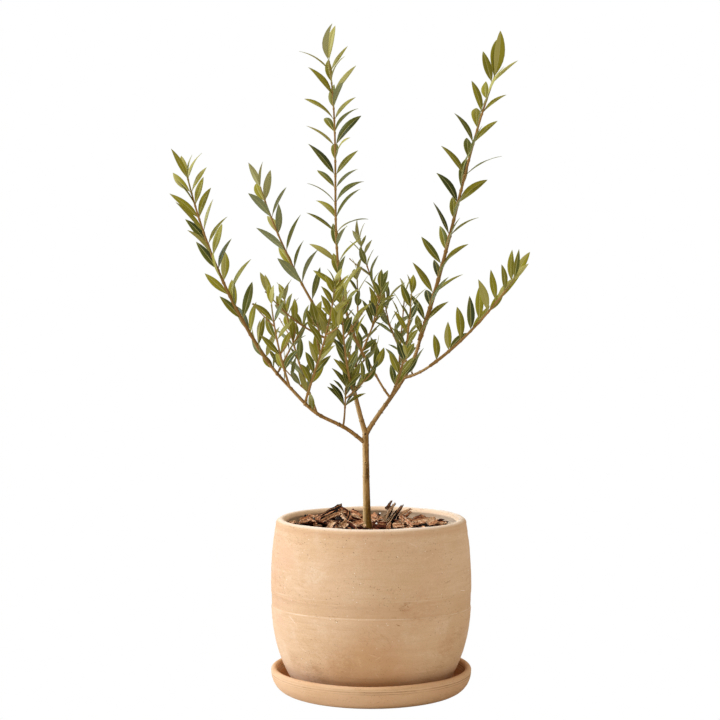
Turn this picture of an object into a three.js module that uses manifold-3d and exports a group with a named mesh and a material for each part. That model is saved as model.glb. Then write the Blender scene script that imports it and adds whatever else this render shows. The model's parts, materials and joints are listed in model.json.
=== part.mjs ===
// A young olive tree in a barrel-shaped terracotta pot, standing in its matching saucer. Units are
// millimetres and +Z is up. The origin is the centre of the saucer's flat underside, and -Y is the
// front.
//
// The plant is grown by one rule. Every limb walks out of a parent limb with a heading, three leans
// and a length. A leafy limb then bears opposite pairs of leaves, each pair turned a quarter from the
// last, and a few side twigs.
import * as THREE from 'three';
import { mergeVertices } from 'three/addons/utils/BufferGeometryUtils.js';
import Module from 'manifold-3d';

const wasm = await Module();
wasm.setup();

// ---------------------------------------------------------------- driving dimensions

const GAP = 0.3;
const ROUND_STEPS = 36;
const BED_STEPS = 20;

const SAUCER = {
  height: 31.5,
  foot: 109,
  belly: 130.6,
  wall: 126.6,
  lip: 4,
  inner: 117,
  floor: 8,
  fillet: [4, 5],
};
const POT = {
  base: SAUCER.floor + GAP,
  height: 225,
  bellyRadius: 130.6,
  bellyHeight: 137,
  baseRadius: 99.5,
  basePower: 2.7,
  heel: 4,
  lipCentre: 117.4,
  lip: 6.6,
  wall: 12.5,
  floor: 12,
};
const MULCH = { top: 212, edge: 208, flat: 16, shoulder: 64, shoulderDrop: 0.25 };
const TRUNK_FOOT = { x: -5, y: 0 };

const UP = new THREE.Vector3(0, 0, 1);
const DEPTH = new THREE.Vector3(0, 1, 0);
const LIMB_STEP = 4;

// ---------------------------------------------------------------- materials

const clay = new THREE.MeshStandardMaterial({ color: 0xdcbb95, roughness: 0.9, metalness: 0 });
const soil = new THREE.MeshStandardMaterial({ color: 0x3b2317, roughness: 1, metalness: 0 });
const chipwood = new THREE.MeshStandardMaterial({ color: 0x8a5636, roughness: 0.9, metalness: 0 });
const bark = new THREE.MeshStandardMaterial({ color: 0x8f6f3c, roughness: 0.85, metalness: 0 });
const foliage = new THREE.MeshStandardMaterial({ color: 0x6f7c33, roughness: 0.55, metalness: 0 });

// ---------------------------------------------------------------- solids and meshes

const part = new THREE.Group();

function addMesh(name, geometry, material) {
  const mesh = new THREE.Mesh(geometry, material);
  mesh.name = name;
  part.add(mesh);
  return mesh;
}

// A closed geometry as a manifold solid.
function solidOf(geometry) {
  const bare = geometry.clone();
  bare.deleteAttribute('normal');
  bare.deleteAttribute('uv');
  const merged = mergeVertices(bare, 1e-4);
  return new wasm.Manifold(new wasm.Mesh({
    numProp: 3,
    vertProperties: new Float32Array(merged.attributes.position.array),
    triVerts: new Uint32Array(merged.index.array),
  }));
}

// A closed solid given by its corners and its triangles.
function solidFrom(corners, triangles) {
  const geometry = new THREE.BufferGeometry().setFromPoints(corners);
  geometry.setIndex(triangles.flat());
  return solidOf(geometry);
}

function geometryOf(solid) {
  const mesh = solid.getMesh();
  const geometry = new THREE.BufferGeometry();
  geometry.setAttribute('position', new THREE.BufferAttribute(new Float32Array(mesh.vertProperties), 3));
  geometry.setIndex(new THREE.BufferAttribute(new Uint32Array(mesh.triVerts), 1));
  geometry.computeVertexNormals();
  return geometry;
}

// The largest connected body of a solid: loose scraps and sealed hollows are dropped.
function largestBody(solid) {
  const bodies = solid.decompose();
  return bodies.reduce((best, body) => (body.volume() > best.volume() ? body : best)).asOriginal();
}

function boxesMeet(a, b) {
  return [0, 1, 2].every((i) => a.min[i] <= b.max[i] && b.min[i] <= a.max[i]);
}

function touches(solid, others) {
  const box = solid.boundingBox();
  return others.some((other) => boxesMeet(box, other.boundingBox()) && !solid.intersect(other).isEmpty());
}

// A repeatable stream of numbers from 0 to 1.
function seeded(seed) {
  let state = seed >>> 0;
  return () => {
    state = (Math.imul(state, 1664525) + 1013904223) >>> 0;
    return state / 4294967296;
  };
}

function mix(a, b, t) {
  return a + (b - a) * t;
}

function radians(degrees) {
  return (degrees * Math.PI) / 180;
}

// ---------------------------------------------------------------- saucer, pot and mulch bed

function arc(centreX, centreY, radius, from, to, steps) {
  const points = [];
  for (let i = 0; i <= steps; i += 1) {
    const angle = radians(mix(from, to, i / steps));
    points.push(new THREE.Vector2(centreX + radius * Math.cos(angle), centreY + radius * Math.sin(angle)));
  }
  return points;
}

// A lathe turns about Y, so its solid is stood up along Z.
function turned(profile, steps) {
  const geometry = new THREE.LatheGeometry(profile, steps);
  geometry.rotateX(Math.PI / 2);
  return geometry;
}

function saucerGeometry() {
  const lipHeight = SAUCER.height - SAUCER.lip;
  const side = SAUCER.belly - SAUCER.foot;
  const wallSteps = 5;
  const profile = [new THREE.Vector2(0, 0)];
  for (let i = 0; i <= wallSteps; i += 1) {
    const angle = (i / wallSteps) * (Math.PI / 2);
    const x = SAUCER.foot + side * Math.sin(angle);
    profile.push(new THREE.Vector2(x, lipHeight * (1 - Math.cos(angle))));
  }
  profile.push(...arc(SAUCER.wall, lipHeight, SAUCER.lip, 30, 180, 4));
  profile.push(new THREE.Vector2(SAUCER.inner + SAUCER.fillet[0], SAUCER.floor + SAUCER.fillet[1]));
  profile.push(new THREE.Vector2(SAUCER.inner, SAUCER.floor));
  profile.push(new THREE.Vector2(0, SAUCER.floor));
  return turned(profile, ROUND_STEPS);
}

// The outside radius of the barrel at a height.
function potRadius(height) {
  const lipHeight = POT.height - POT.lip;
  if (height > POT.bellyHeight) {
    const rise = (height - POT.bellyHeight) / (lipHeight - POT.bellyHeight);
    return mix(POT.bellyRadius, POT.lipCentre + POT.lip, rise ** 2);
  }
  const drop = (POT.bellyHeight - height) / (POT.bellyHeight - POT.base);
  return mix(POT.bellyRadius, POT.baseRadius, drop ** POT.basePower);
}

function potInside(height) {
  return potRadius(height) - POT.wall;
}

function potGeometry() {
  const lipHeight = POT.height - POT.lip;
  const inFloor = POT.base + POT.floor;
  const [outSteps, inSteps, lipSteps] = [9, 6, 5];
  const profile = [new THREE.Vector2(0, POT.base), new THREE.Vector2(POT.baseRadius - POT.heel, POT.base)];
  for (let i = 0; i < outSteps; i += 1) {
    const height = mix(POT.base + POT.heel, lipHeight, i / outSteps);
    profile.push(new THREE.Vector2(potRadius(height), height));
  }
  profile.push(...arc(POT.lipCentre, lipHeight, POT.lip, 0, 180, lipSteps));
  for (let i = 1; i <= inSteps; i += 1) {
    const height = mix(lipHeight, inFloor + POT.heel, i / inSteps);
    profile.push(new THREE.Vector2(potInside(height), height));
  }
  profile.push(new THREE.Vector2(potInside(inFloor) - POT.heel, inFloor));
  profile.push(new THREE.Vector2(0, inFloor));
  return turned(profile, ROUND_STEPS);
}

// The bed fills the pot to a low mound. It has fewer facets than the pot, so its wall stays further
// in.
function mulchBed() {
  const bottom = POT.base + POT.floor + GAP;
  const wallSteps = 5;
  const profile = [new THREE.Vector2(0, bottom)];
  profile.push(new THREE.Vector2(potInside(bottom) - POT.heel - 2 * GAP, bottom));
  for (let i = 0; i <= wallSteps; i += 1) {
    const height = mix(bottom + POT.heel, MULCH.edge, i / wallSteps);
    profile.push(new THREE.Vector2(potInside(height) - 4 * GAP, height));
  }
  profile.push(new THREE.Vector2(MULCH.shoulder, mix(MULCH.top, MULCH.edge, MULCH.shoulderDrop)));
  profile.push(new THREE.Vector2(MULCH.flat, MULCH.top));
  profile.push(new THREE.Vector2(0, MULCH.top));
  return solidOf(turned(profile, BED_STEPS));
}

// ---------------------------------------------------------------- bark chips

// The chips that stand proud of the bed: where the low end sits, compass heading of the long way, rise
// of the far end, roll about the long way, and length, width and thickness.
const bigChips = [
  { name: 'chip_plank', x: -82, y: 56, heading: 8, rise: 27, roll: 50, size: [52, 12, 5] },
  { name: 'chip_curl', x: -91, y: 20, heading: 350, rise: 10, roll: 25, size: [30, 13, 3] },
  { name: 'chip_lath', x: -58, y: 38, heading: 12, rise: 17, roll: 35, size: [36, 6, 2.6] },
  { name: 'chip_blade', x: 18, y: 42, heading: 20, rise: 66, roll: 70, size: [31, 9, 2.6] },
  { name: 'chip_spike', x: 24, y: 26, heading: 15, rise: 58, roll: 60, size: [33, 8, 2.8] },
  { name: 'chip_splinter', x: 31, y: 42, heading: 12, rise: 36, roll: 30, size: [29, 6, 2.4] },
];
const CHIP_BURIED = 3;
const CHIP = { skew: 0.35, farSide: 0.42, nearSide: 0.18, thinEnd: 0.7 };
const flatChips = {
  count: 12,
  tries: 200,
  rings: [34, 96],
  length: [15, 27],
  width: [6, 11],
  thickness: [2.2, 3.4],
  rise: [2, 11],
  roll: [-12, 12],
  bury: -0.4,
  seed: 11,
};

// A chip is a tapering board with skewed ends, along +X from its low end. `grow` makes it larger all
// round.
function chipSolid(chip, grow = 0) {
  const [length, width, thickness] = chip.size;
  const skew = width * CHIP.skew;
  const outline = [[0, -width / 2], [length - skew, -width * CHIP.farSide], [length, width * CHIP.nearSide],
    [skew, width / 2]];
  const stretch = [1 + (2 * grow) / length, 1 + (3 * grow) / width];
  const corners = [];
  for (const side of [-1, 1]) {
    for (const [x, y] of outline) {
      const thin = x > length / 2 ? CHIP.thinEnd : 1;
      corners.push(new THREE.Vector3(
        length / 2 + (x - length / 2) * stretch[0],
        y * stretch[1],
        side * (thickness / 2 + grow) * thin,
      ));
    }
  }
  const turn = new THREE.Matrix4().makeRotationZ(radians(chip.heading));
  turn.multiply(new THREE.Matrix4().makeRotationY(-radians(chip.rise)));
  turn.multiply(new THREE.Matrix4().makeRotationX(radians(chip.roll)));
  corners.forEach((corner) => {
    corner.applyMatrix4(turn);
    corner.add(new THREE.Vector3(chip.x, chip.y, chip.z));
  });
  const triangles = [[0, 2, 1], [0, 3, 2], [4, 5, 6], [4, 6, 7]];
  for (let i = 0; i < 4; i += 1) {
    const next = (i + 1) % 4;
    triangles.push([i, next, next + 4], [i, next + 4, i + 4]);
  }
  return solidFrom(corners, triangles);
}

function bedHeight(x, y) {
  const out = (Math.hypot(x, y) - MULCH.flat) / (MULCH.shoulder - MULCH.flat);
  return mix(MULCH.top, MULCH.edge, MULCH.shoulderDrop * THREE.MathUtils.clamp(out, 0, 1));
}

// Lays the chips, each sunk a little in the bed, and leaves out a flat one that would touch another.
function layChips(keepClear) {
  const laid = [];
  const place = (chip) => {
    const fat = chipSolid(chip, GAP);
    if (touches(fat, [...laid.map((one) => one.solid), ...keepClear])) return false;
    laid.push({ name: chip.name, solid: chipSolid(chip), fat });
    return true;
  };
  for (const chip of bigChips) {
    place({ ...chip, z: bedHeight(chip.x, chip.y) - CHIP_BURIED });
  }
  const random = seeded(flatChips.seed);
  let made = 0;
  for (let tries = 0; made < flatChips.count && tries < flatChips.tries; tries += 1) {
    const angle = radians(360 * random());
    const ring = mix(...flatChips.rings, Math.sqrt(random()));
    const x = ring * Math.cos(angle);
    const y = ring * Math.sin(angle);
    const chip = {
      name: `chip_${String(made + 1).padStart(2, '0')}`,
      x,
      y,
      z: bedHeight(x, y) - flatChips.bury,
      heading: 360 * random(),
      rise: mix(...flatChips.rise, random()),
      roll: mix(...flatChips.roll, random()),
      size: [flatChips.length, flatChips.width, flatChips.thickness].map((range) => mix(...range, random())),
    };
    const heading = radians(chip.heading);
    const farX = x + chip.size[0] * Math.cos(heading);
    const farY = y + chip.size[0] * Math.sin(heading);
    if (Math.hypot(farX, farY) < flatChips.rings[1] && place(chip)) made += 1;
  }
  return laid;
}

// ---------------------------------------------------------------- limbs

// Each limb: its parent, how far along the parent it leaves (0 foot, 1 tip), the compass heading of
// its foot and how far the heading swings, its lean from upright at foot, middle and tip, its length,
// and foot and tip radius. A bough with `weave` dips and rises by that many degrees on its way, less
// and less towards its tip.
const boughs = [
  { name: 'trunk', heading: 180, swing: 0, lean: [2, 1, 1], length: 121, radius: [4.9, 4.1],
    flare: 1.5 },
  { name: 'bough_leader', from: 'trunk', at: 1, heading: 156, swing: -2, lean: [18, 15, 10],
    length: 91, radius: [3.4, 2.3], flare: 0.4 },
  { name: 'bough_left', from: 'trunk', at: 0.9, heading: 197, swing: -1, lean: [65, 52, 35],
    weave: 13, length: 171, radius: [2.6, 1.9], flare: 0.7 },
  { name: 'bough_right', from: 'trunk', at: 0.985, heading: 23, swing: 1, lean: [32, 37, 12],
    length: 148, radius: [3.1, 2.2], flare: 0.6 },
  { name: 'bough_third', from: 'bough_leader', at: 1, heading: 139, swing: 0, lean: [39, 39, 37],
    length: 86, radius: [1.8, 1.4], flare: 0.3 },
  { name: 'bough_tall', from: 'bough_right', at: 0.4, heading: 190, swing: -2, lean: [41, 29, 37],
    length: 66, radius: [1.6, 1.4], flare: 0.5 },
  { name: 'bough_far_right', from: 'bough_right', at: 0.62, heading: 330, swing: -1,
    lean: [80, 66, 56], length: 45, radius: [2, 1.7], flare: 0.5 },
];

// A leafy limb has in addition the angle of its first leaf pair about it (0 lies across the
// front view, 90 faces forwards), the bare length of its foot, the distances between leaf pairs
// at foot and tip, the length of its longest leaves and of those at its tip, the number of its
// side twigs, and its seed.
const masses = [
  { name: 'foliage_left', from: 'bough_left', at: 1, heading: 199, swing: 3, lean: [35, 24, 14],
    length: 255, radius: [1.8, 0.7], phase: 65, bare: 4, spacing: [20, 16], leaf: 50,
    tipLeaf: 29, twigs: 0, turned: 0.6, seed: 304 },
  { name: 'foliage_third', from: 'bough_third', at: 1, heading: 144, swing: 3,
    lean: [38, 30, 22], length: 197, radius: [1.3, 0.7], phase: 50, bare: 20, spacing: [28, 22],
    leaf: 50, tipLeaf: 41, twigs: 0, turned: 0, seed: 712 },
  { name: 'foliage_tall', from: 'bough_tall', at: 1, heading: 205, swing: 34, lean: [32, 1, 15],
    length: 384, radius: [1.4, 0.7], phase: 85, bare: 21, spacing: [22, 15], leaf: 52,
    tipLeaf: 51, twigs: 0, recurve: [20, 44], turned: 0.4, seed: 33 },
  { name: 'foliage_right', from: 'bough_right', at: 1, heading: 21, swing: 1,
    lean: [21, 15, 22], length: 360, radius: [2.1, 0.8], phase: 85, bare: 4, spacing: [19, 22],
    leaf: 53, tipLeaf: 66, twigs: 0, turned: 0.6, seed: 308 },
  { name: 'foliage_far_right', from: 'bough_far_right', at: 1, heading: 325, swing: -3,
    lean: [58, 48, 41], length: 168, radius: [1.6, 0.7], phase: 50, bare: 8, spacing: [22, 15],
    leaf: 43, tipLeaf: 38, twigs: 0, turned: 0.6, seed: 59 },
  { name: 'foliage_right_inner', from: 'bough_right', at: 0.72, heading: 122, swing: 2,
    lean: [44, 36, 28], length: 207, radius: [1.2, 0.6], phase: 20, bare: 22, spacing: [18, 14],
    leaf: 31, tipLeaf: 30, twigs: 0, turned: 0.3, seed: 135 },
  { name: 'foliage_second', from: 'bough_third', at: 0.45, heading: 221, swing: 1,
    lean: [73, 62, 46], length: 123, radius: [1.1, 0.6], phase: 60, bare: 24, spacing: [18, 14],
    leaf: 31, tipLeaf: 34, twigs: 1, turned: 0.6, seed: 504 },
  { name: 'foliage_leader', from: 'bough_leader', at: 0.93, heading: 51, swing: 1,
    lean: [58, 33, 61], length: 118, radius: [1.2, 0.6], phase: 55, bare: 10, spacing: [21, 16],
    leaf: 37, tipLeaf: 34, twigs: 1, turned: 0.6, seed: 633 },
  { name: 'foliage_left_inner', from: 'bough_left', at: 0.57, heading: 293, swing: 0,
    lean: [37, 39, 15], length: 182, radius: [1.2, 0.6], phase: 45, bare: 16, spacing: [18, 14],
    leaf: 34, tipLeaf: 30, twigs: 1, turned: 0.3, seed: 966 },
  { name: 'foliage_low', from: 'bough_left', at: 0.88, heading: 71, swing: -2,
    lean: [60, 55, 70], length: 101, radius: [1, 0.6], phase: 25, bare: 10, spacing: [21, 16],
    leaf: 34, tipLeaf: 26, twigs: 0, turned: 0.6, seed: 191 },
  { name: 'foliage_sprig', from: 'bough_left', at: 0.22, heading: 281, swing: 2,
    lean: [54, 14, 30], length: 60, radius: [1, 0.6], phase: 10, bare: 30, spacing: [15, 11],
    leaf: 36, tipLeaf: 36, twigs: 1, turned: 0.3, seed: 857 },
  { name: 'foliage_front', from: 'bough_leader', at: 0.5, heading: 258, swing: 8,
    lean: [62, 42, 18], length: 175, radius: [1.3, 0.6], phase: 50, bare: 44, spacing: [19, 14],
    leaf: 33, tipLeaf: 30, twigs: 0, turned: 0, seed: 252 },
  { name: 'foliage_back', from: 'bough_leader', at: 0.7, heading: 84, swing: 10,
    lean: [60, 44, 20], length: 205, radius: [1.3, 0.6], phase: 0, bare: 38, spacing: [25, 18],
    leaf: 30, tipLeaf: 26, twigs: 1, turned: 0.3, seed: 275 },
  { name: 'foliage_front_right', from: 'bough_right', at: 0.33, heading: 290, swing: -12,
    lean: [60, 40, 16], length: 190, radius: [1.3, 0.6], phase: 55, bare: 44, spacing: [25, 18],
    leaf: 33, tipLeaf: 26, twigs: 1, turned: 0.3, seed: 328 },
  { name: 'foliage_back_right', from: 'bough_right', at: 0.55, heading: 92, swing: -14,
    lean: [62, 46, 20], length: 165, radius: [1.2, 0.6], phase: 40, bare: 44, spacing: [29, 21],
    leaf: 36, tipLeaf: 30, twigs: 0, turned: 0.3, seed: 11 },
  { name: 'foliage_back_left', from: 'bough_left', at: 0.45, heading: 108, swing: 14,
    lean: [54, 40, 14], length: 190, radius: [1.3, 0.6], phase: 80, bare: 38, spacing: [29, 21],
    leaf: 33, tipLeaf: 30, twigs: 1, turned: 0, seed: 140 },
  { name: 'foliage_front_left', from: 'bough_left', at: 0.74, heading: 262, swing: -10,
    lean: [58, 40, 16], length: 140, radius: [1.2, 0.6], phase: 60, bare: 38, spacing: [29, 21],
    leaf: 36, tipLeaf: 26, twigs: 0, turned: 0.6, seed: 542 },
];

const LIMB_SIDES = { bough: 8, stem: 3, twig: 3 };
const STATION_SPACING = { bough: 13, stem: 24 };
const TWIG_STATIONS = 3;
const FLARE_REACH = 2.2;
// The weave of a bough: the share of its length at which it crosses the plain lean, and that of one wave.
const WEAVE = { start: 0.21, turn: 0.55 };
const LEAF = {
  widthRatio: 0.28,
  thickness: 1.1,
  widest: 0.45,
  sink: 0.7,
  splay: [58, 46],
  splaySpread: 12,
  flat: 0.6,
  lift: 0.3,
  lowest: -0.1,
  recurve: [6, 30],
  turnSpread: 24,
  rollSpread: 24,
  tipSplay: 20,
  tipInset: 1.2,
  tipBare: 3,
  endTaper: 0.7,
  lengthSpread: [0.86, 1.12],
  spacingSpread: [0.9, 1.1],
};
const LIGHT = new THREE.Vector3(-0.3, -0.85, 0.45).normalize();
const SIDE_TWIG = {
  length: [34, 58],
  splay: 44,
  radius: [0.9, 0.55],
  spacing: 15,
  bare: 15,
  leaf: 0.84,
  rise: 0.0036,
  highest: 0.7,
  phase: 45,
  turn: 137,
  turnSpread: 60,
};
const SPACE_RADIUS = 78;
const stemOf = new Map();

// The direction at a heading and a lean.
function direction(heading, lean) {
  const [turn, tilt] = [radians(heading), radians(lean)];
  return new THREE.Vector3(Math.sin(tilt) * Math.cos(turn), Math.sin(tilt) * Math.sin(turn), Math.cos(tilt));
}

// The line of a limb as evenly spaced stations. The lean follows the curve through its three values.
function walk(foot, limb) {
  const steps = Math.ceil(limb.length / LIMB_STEP);
  const stride = limb.length / steps;
  const points = [foot.clone()];
  for (let i = 0; i < steps; i += 1) {
    const t = (i + 0.5) / steps;
    const [a, b, c] = limb.lean;
    const lean = a * (1 - t) * (1 - 2 * t) + 4 * b * t * (1 - t) + c * t * (2 * t - 1);
    const wave = Math.sin((2 * Math.PI * (t - WEAVE.start)) / WEAVE.turn);
    const weave = (limb.weave ?? 0) * (1 - t) * wave;
    const way = direction(limb.heading + limb.swing * t, lean + weave);
    points.push(points[i].clone().addScaledVector(way, stride));
  }
  return { points, stride, length: limb.length };
}

// A side twig starts along a given way and bends slowly up.
function walkTwig(foot, way, length) {
  const steps = Math.ceil(length / LIMB_STEP);
  const stride = length / steps;
  const points = [foot.clone()];
  const heading = way.clone();
  for (let i = 0; i < steps; i += 1) {
    heading.addScaledVector(UP, SIDE_TWIG.rise * stride).normalize();
    points.push(points[i].clone().addScaledVector(heading, stride));
  }
  return { points, stride, length };
}

function pointAt(line, distance) {
  const place = Math.min(distance / line.stride, line.points.length - 1.001);
  const i = Math.floor(place);
  return line.points[i].clone().lerp(line.points[i + 1], place - i);
}

function wayAt(line, distance) {
  const i = Math.min(Math.floor(distance / line.stride), line.points.length - 2);
  return line.points[i + 1].clone().sub(line.points[i]).normalize();
}

// Two directions square to a way: `side` lies across the front view and `front` faces the front.
function squareTo(way) {
  const side = new THREE.Vector3().crossVectors(DEPTH, way).normalize();
  return { side, front: new THREE.Vector3().crossVectors(side, way).normalize() };
}

// A closed tapering tube along a line, with a flare at its foot.
function tube(line, radiusAt, sides, stations, grow = 0) {
  const corners = [];
  const triangles = [];
  for (let i = 0; i <= stations; i += 1) {
    const distance = (line.length * i) / stations;
    const way = wayAt(line, distance);
    const { side, front } = squareTo(way);
    const centre = pointAt(line, distance);
    if (i === 0) centre.addScaledVector(way, -grow);
    if (i === stations) centre.addScaledVector(way, grow);
    const radius = radiusAt(distance) + grow;
    for (let k = 0; k < sides; k += 1) {
      const angle = (2 * Math.PI * k) / sides;
      const corner = centre.clone().addScaledVector(side, radius * Math.cos(angle));
      corners.push(corner.addScaledVector(front, -radius * Math.sin(angle)));
    }
  }
  for (let i = 0; i < stations; i += 1) {
    for (let k = 0; k < sides; k += 1) {
      const [a, b] = [i * sides + k, i * sides + ((k + 1) % sides)];
      triangles.push([a, b, b + sides], [a, b + sides, a + sides]);
    }
  }
  const last = stations * sides;
  for (let k = 1; k < sides - 1; k += 1) {
    triangles.push([0, k + 1, k], [last, last + k, last + k + 1]);
  }
  return solidFrom(corners, triangles);
}

function limbRadius(limb) {
  const flare = limb.flare ?? 0;
  const flareLength = limb.radius[0] * FLARE_REACH;
  return (distance) => {
    const plain = mix(...limb.radius, distance / limb.length);
    return plain + flare * Math.exp(-distance / flareLength);
  };
}

// Builds every limb, each cut 0.3 mm clear of the limbs before it.
function buildLimbs() {
  for (const limb of [...boughs, ...masses]) {
    const parent = limb.from ? stemOf.get(limb.from) : null;
    const trunkFoot = new THREE.Vector3(TRUNK_FOOT.x, TRUNK_FOOT.y, MULCH.top + GAP);
    const foot = parent ? pointAt(parent.line, limb.at * parent.line.length) : trunkFoot;
    const line = walk(foot, limb);
    const leafy = 'leaf' in limb;
    const sides = leafy ? LIMB_SIDES.stem : LIMB_SIDES.bough;
    const stations = Math.ceil(limb.length / (leafy ? STATION_SPACING.stem : STATION_SPACING.bough));
    let solid = tube(line, limbRadius(limb), sides, stations);
    for (const other of stemOf.values()) {
      if (boxesMeet(solid.boundingBox(), other.fat.boundingBox())) solid = solid.subtract(other.fat);
    }
    const fat = tube(line, limbRadius(limb), sides, stations, GAP);
    stemOf.set(limb.name, { line, solid: largestBody(solid), fat });
  }
  // The trunk is cut flat at the top of the mulch.
  const trunk = stemOf.get('trunk');
  const cutSize = 60;
  const cut = new THREE.BoxGeometry(cutSize, cutSize, cutSize);
  cut.translate(0, 0, MULCH.top + GAP - cutSize / 2);
  trunk.solid = largestBody(trunk.solid.subtract(solidOf(cut)));
}

// ---------------------------------------------------------------- leaves

// One leaf as the frame of its blade: the midrib leaves the stem along `way` and curls back over its
// length. A leaf lifts, the more so the more its stem leans, and one that would start downwards is
// shed. `turned` is the share of the way that its upper face turns about the midrib to the light.
function leafFrame({ root, sink, stemWay, outward, splay, recurve, roll, turned, length }) {
  const angle = radians(splay);
  const way = stemWay.clone().multiplyScalar(Math.cos(angle)).addScaledVector(outward, Math.sin(angle));
  const shed = way.z < LEAF.lowest;
  way.addScaledVector(UP, LEAF.lift + Math.hypot(stemWay.x, stemWay.y)).normalize();
  const back = way.clone().multiplyScalar(way.dot(stemWay)).sub(stemWay).normalize();
  const dark = way.clone().multiplyScalar(way.dot(LIGHT)).sub(LIGHT).normalize();
  const toDark = Math.atan2(new THREE.Vector3().crossVectors(back, dark).dot(way), back.dot(dark));
  back.applyAxisAngle(way, radians(roll) + turned * toDark);
  const across = new THREE.Vector3().crossVectors(way, back);
  return { root, sink, way, back, across, bend: radians(recurve), length, shed };
}

function midrib(leaf, t) {
  const turn = leaf.bend * t;
  const along = (leaf.length * Math.sin(turn)) / leaf.bend;
  const off = (leaf.length * (1 - Math.cos(turn))) / leaf.bend;
  return leaf.root.clone().addScaledVector(leaf.way, along).addScaledVector(leaf.back, off);
}

// Eight faces: root and tip, and four corners where the blade is widest.
function leafSolid(leaf, grow = 0) {
  const centre = midrib(leaf, LEAF.widest);
  const half = (leaf.length * LEAF.widthRatio) / 2 + grow;
  const thick = LEAF.thickness / 2 + grow;
  const corners = [
    leaf.root.clone().addScaledVector(leaf.way, -leaf.sink),
    centre.clone().addScaledVector(leaf.across, half),
    centre.clone().addScaledVector(leaf.back, thick),
    centre.clone().addScaledVector(leaf.across, -half),
    centre.clone().addScaledVector(leaf.back, -thick),
    midrib(leaf, 1).addScaledVector(leaf.way, grow),
  ];
  const triangles = [];
  for (let i = 0; i < 4; i += 1) {
    const next = ((i + 1) % 4) + 1;
    triangles.push([0, i + 1, next], [5, next, i + 1]);
  }
  return solidFrom(corners, triangles);
}

// The leaf pairs of a stem or side twig, in order from its foot.
function leafPairs(line, radiusAt, rule, random) {
  const leaves = [];
  let phase = rule.phase;
  let distance = rule.bare;
  while (distance < line.length - LEAF.tipBare) {
    const t = distance / line.length;
    phase += LEAF.turnSpread * (random() - 0.5);
    leaves.push(...leafPair(line, distance, radiusAt(distance), phase, rule, t, random));
    phase += 90;
    distance += mix(...rule.spacing, t) * mix(...LEAF.spacingSpread, random());
  }
  leaves.push(...leafPair(line, line.length - LEAF.tipInset, radiusAt(line.length), phase, rule, 1, random));
  return leaves;
}

function leafPair(line, distance, radius, phase, rule, t, random) {
  const root = pointAt(line, distance);
  const way = wayAt(line, distance);
  const { side, front } = squareTo(way);
  const size = t === 1 ? rule.tipLeaf : rule.leaf * (1 - LEAF.endTaper * (t - 0.5) ** 2);
  const splay = t === 1 ? LEAF.tipSplay : mix(...LEAF.splay, t);
  return [0, 180].map((turn) => {
    const angle = radians(phase + turn);
    const outward = side.clone().multiplyScalar(Math.cos(angle));
    outward.addScaledVector(front, LEAF.flat * Math.sin(angle)).normalize();
    return leafFrame({
      root,
      sink: LEAF.sink * radius,
      stemWay: way,
      outward,
      splay: splay + 2 * LEAF.splaySpread * (random() - 0.5),
      recurve: mix(...(rule.recurve ?? LEAF.recurve), random()),
      roll: 2 * LEAF.rollSpread * (random() - 0.5),
      turned: rule.turned,
      length: size * mix(...LEAF.lengthSpread, random()),
    });
  });
}

// Fuses one mass: its stem, then each side twig and leaf that keeps to the space and clears every
// other node.
function growMass(mass, others) {
  const random = seeded(mass.seed);
  const stem = stemOf.get(mass.name);
  const inSpace = (point) => stem.line.points.some((place) => place.distanceTo(point) < SPACE_RADIUS);
  const stemSolids = [stem.solid];
  const leaves = leafPairs(stem.line, limbRadius(mass), mass, random);
  for (let k = 0; k < mass.twigs; k += 1) {
    const distance = mix(mass.bare, stem.line.length * SIDE_TWIG.highest, (k + random()) / mass.twigs);
    const way = wayAt(stem.line, distance);
    const { side, front } = squareTo(way);
    const angle = radians(mass.phase + SIDE_TWIG.turn * k + SIDE_TWIG.turnSpread * random());
    const outward = side.multiplyScalar(Math.cos(angle)).addScaledVector(front, Math.sin(angle));
    const splay = radians(SIDE_TWIG.splay);
    const start = way.multiplyScalar(Math.cos(splay)).addScaledVector(outward, Math.sin(splay));
    const line = walkTwig(pointAt(stem.line, distance), start, mix(...SIDE_TWIG.length, random()));
    const radiusAt = (along) => mix(...SIDE_TWIG.radius, along / line.length);
    const rule = {
      ...mass,
      phase: mass.phase + SIDE_TWIG.phase,
      bare: SIDE_TWIG.bare,
      spacing: [SIDE_TWIG.spacing, SIDE_TWIG.spacing],
      leaf: mass.leaf * SIDE_TWIG.leaf,
      tipLeaf: mass.tipLeaf * SIDE_TWIG.leaf,
    };
    const twigLeaves = leafPairs(line, radiusAt, rule, random);
    if (touches(tube(line, radiusAt, LIMB_SIDES.twig, TWIG_STATIONS, GAP), others)) continue;
    stemSolids.push(tube(line, radiusAt, LIMB_SIDES.twig, TWIG_STATIONS));
    leaves.push(...twigLeaves);
  }
  const fits = (leaf) => !leaf.shed && inSpace(midrib(leaf, 1)) && !touches(leafSolid(leaf, GAP), others);
  const kept = leaves.filter(fits);
  const pieces = [...stemSolids, ...kept.map((leaf) => leafSolid(leaf))];
  return largestBody(pieces.reduce((sum, piece) => sum.add(piece)));
}

// ---------------------------------------------------------------- assembly

addMesh('saucer', saucerGeometry(), clay);
addMesh('pot', potGeometry(), clay);

buildLimbs();
const chips = layChips([stemOf.get('trunk').fat]);
const bed = chips.reduce((sum, chip) => sum.subtract(chip.fat), mulchBed());
addMesh('mulch_bed', geometryOf(largestBody(bed)), soil);
chips.forEach((chip) => addMesh(chip.name, geometryOf(chip.solid), chipwood));

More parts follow.
